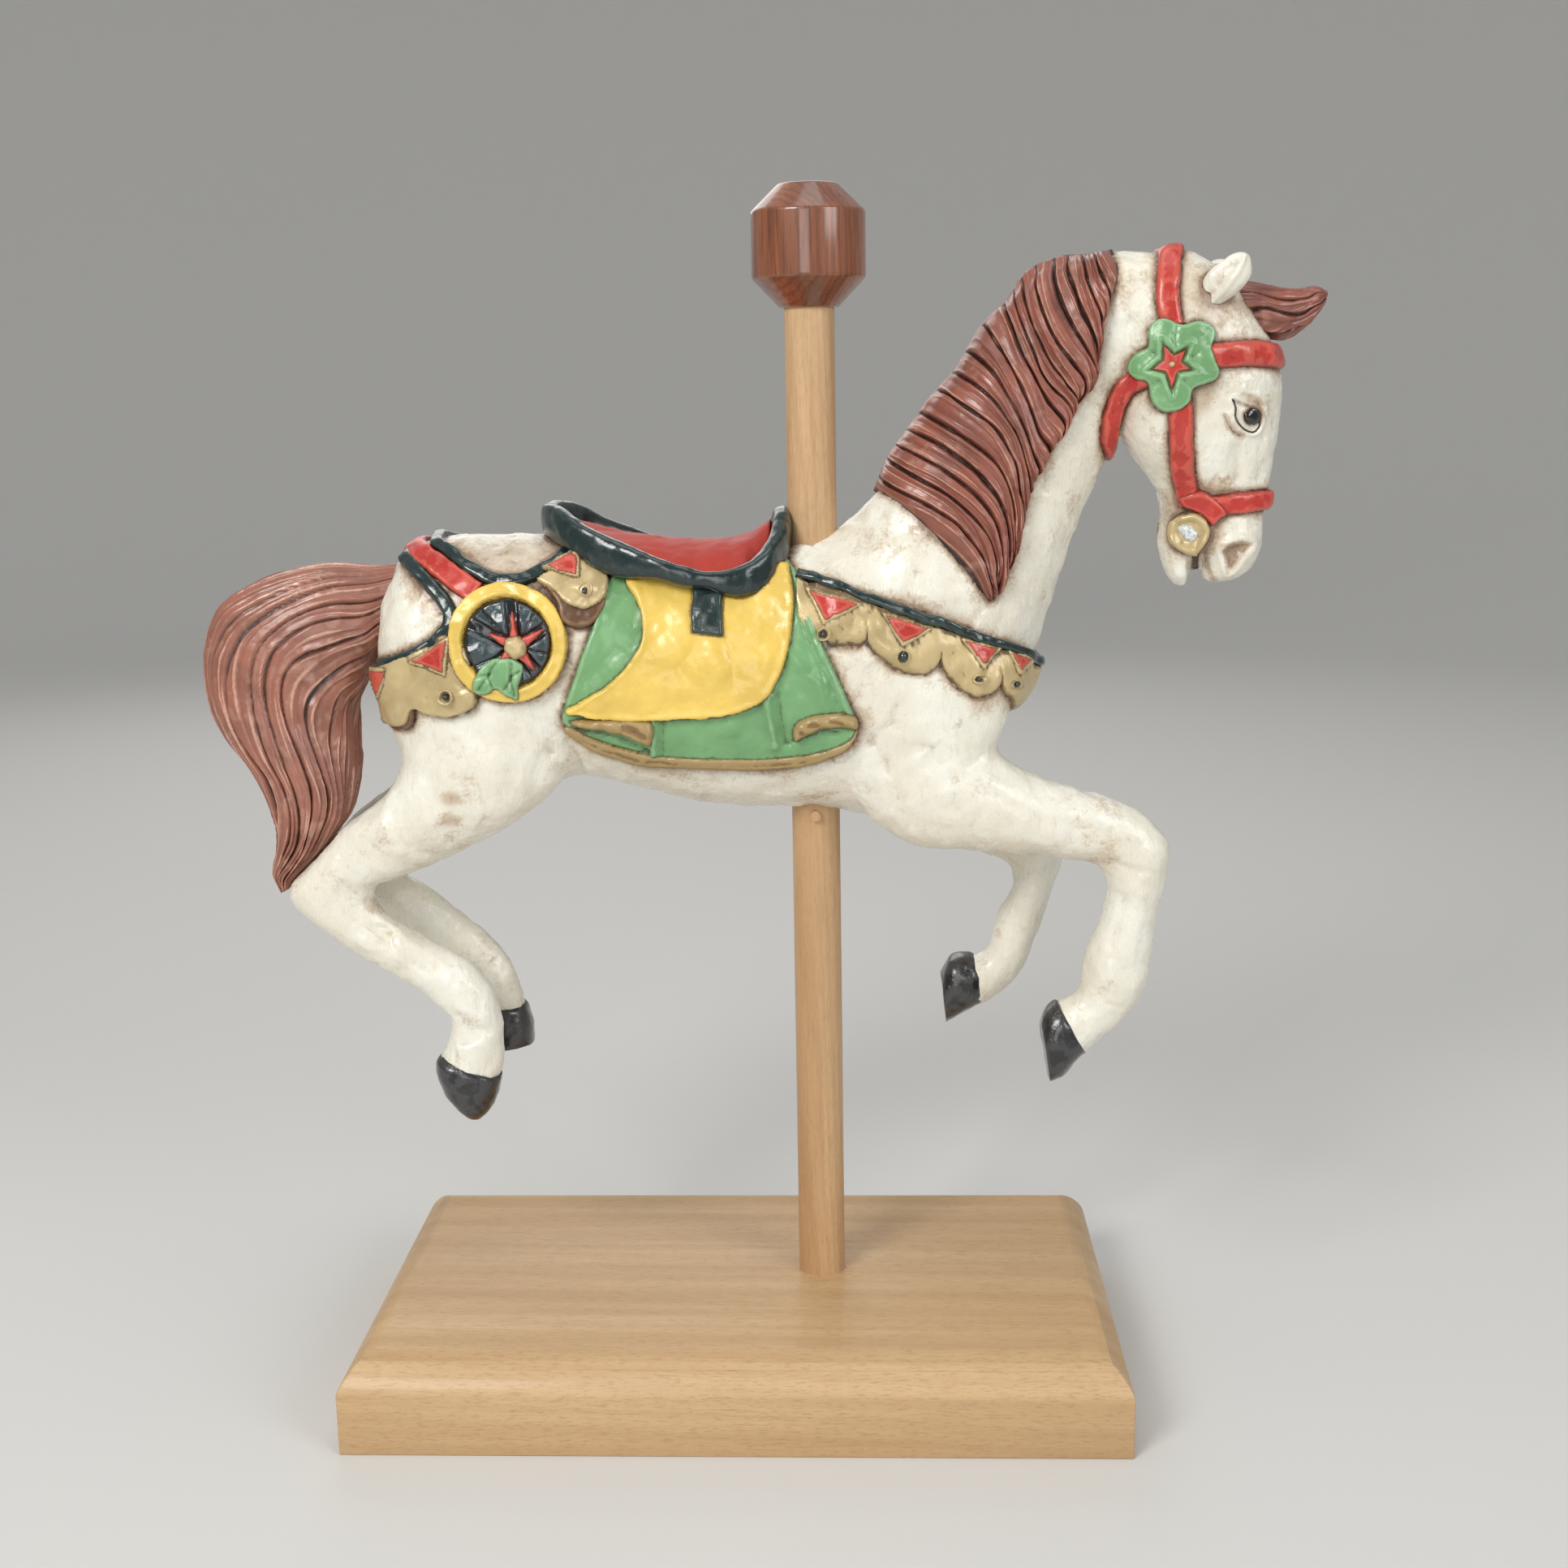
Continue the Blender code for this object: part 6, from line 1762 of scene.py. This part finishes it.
def make_hooves(coats):
    for name, stations in HOOVES.items():
        shell = loft(stations, sides=64, per_span=14, square=2.4)
        thing = piece(name, raw_mesh(name, shell), coats["hoof"])
        tone(thing, rounds=10)


# Room

FLOOR_REACH = 2.2
WALL_SWEEP = 1.6
WALL_HEIGHT = 2.6


def make_room():
    scene = bpy.context.scene
    forward = Vector((math.sin(YAW) * math.cos(PITCH), math.cos(YAW) * math.cos(PITCH),
                      -math.sin(PITCH)))
    right = Vector((math.cos(YAW), -math.sin(YAW), 0))
    up = right.cross(forward)
    across = math.cos(ROLL) * right + math.sin(ROLL) * up
    upright = -math.sin(ROLL) * right + math.cos(ROLL) * up
    camera = bpy.data.objects.new("camera", bpy.data.cameras.new("camera"))
    camera.data.lens = LENS
    camera.data.sensor_width = SENSOR
    matrix = Matrix.Identity(4)
    for row in range(3):
        matrix[row][0] = across[row]
        matrix[row][1] = upright[row]
        matrix[row][2] = -forward[row]
        matrix[row][3] = EYE[row] * MM
    camera.matrix_world = matrix
    scene.collection.objects.link(camera)
    scene.camera = camera
    sweep = [(0.0, 0.0), (FLOOR_REACH, 0.0)]
    sweep += [(FLOOR_REACH + WALL_SWEEP * math.sin(a), WALL_SWEEP * (1 - math.cos(a)))
              for a in np.linspace(0.05, math.pi / 2, 24)]
    sweep.append((FLOOR_REACH + WALL_SWEEP, WALL_HEIGHT))
    rings = [[Vector((max(r, 0.001) * math.cos(2 * math.pi * k / 128),
                      max(r, 0.001) * math.sin(2 * math.pi * k / 128), z)) for k in range(128)]
             for r, z in sweep]
    floor = bpy.data.objects.new("floor", raw_mesh("floor", skin_of_rings(rings, caps=False)))
    scene.collection.objects.link(floor)
    floor.data.shade_smooth()
    floor.data.materials.append(Graph("floor_paint").set(colour=tint(212, 211, 208), rough=0.8))
    for name, place, size, power_watts, colour in (
            ("key", (-0.9, -1.4, 1.3), 0.7, 22.5, (1.0, 0.98, 0.95)),
            ("fill", (1.3, -1.2, 1.0), 0.8, 10.5, (0.97, 0.98, 1.0)),
            ("front", (-0.15, -1.6, 0.5), 0.5, 2.6, (1.0, 1.0, 1.0)),
            ("top", (0.1, -0.2, 1.9), 1.0, 5.0, (1.0, 1.0, 1.0)),
            ("back", (-0.4, 1.6, 1.2), 1.2, 6.0, (1.0, 0.98, 0.95))):
        light = bpy.data.lights.new(name, "AREA")
        light.energy = power_watts
        light.size = size
        light.color = colour
        holder = bpy.data.objects.new(name, light)
        holder.location = place
        aim = Vector((0.0, 0.0, 0.25)) - Vector(place)
        holder.rotation_euler = aim.to_track_quat("-Z", "Y").to_euler()
        scene.collection.objects.link(holder)
    world = bpy.data.worlds.new("room")
    world.use_nodes = True
    world.node_tree.nodes["Background"].inputs["Color"].default_value = (0.80, 0.81, 0.82, 1.0)
    world.node_tree.nodes["Background"].inputs["Strength"].default_value = 0.5
    scene.world = world
    scene.view_settings.view_transform = "Standard"


def main():
    coats = make_coats()
    make_room()
    whole = flesh()
    head_mesh = carved(parted(whole, True), True, HEAD_TRIANGLES)
    body_mesh = carved(parted(whole, False), False, BODY_TRIANGLES)
    skin = Skin([head_mesh, body_mesh])
    make_hair(skin, coats)
    make_saddle(skin, coats)
    make_cloth(skin, coats)
    make_croup(skin, coats)
    make_collar(skin, coats)
    make_bridle(skin, coats)
    make_hooves(coats)
    make_ears(coats)
    settle_wash_and_shade()
    make_flesh(head_mesh, body_mesh, coats)
    make_stand(coats)


main()
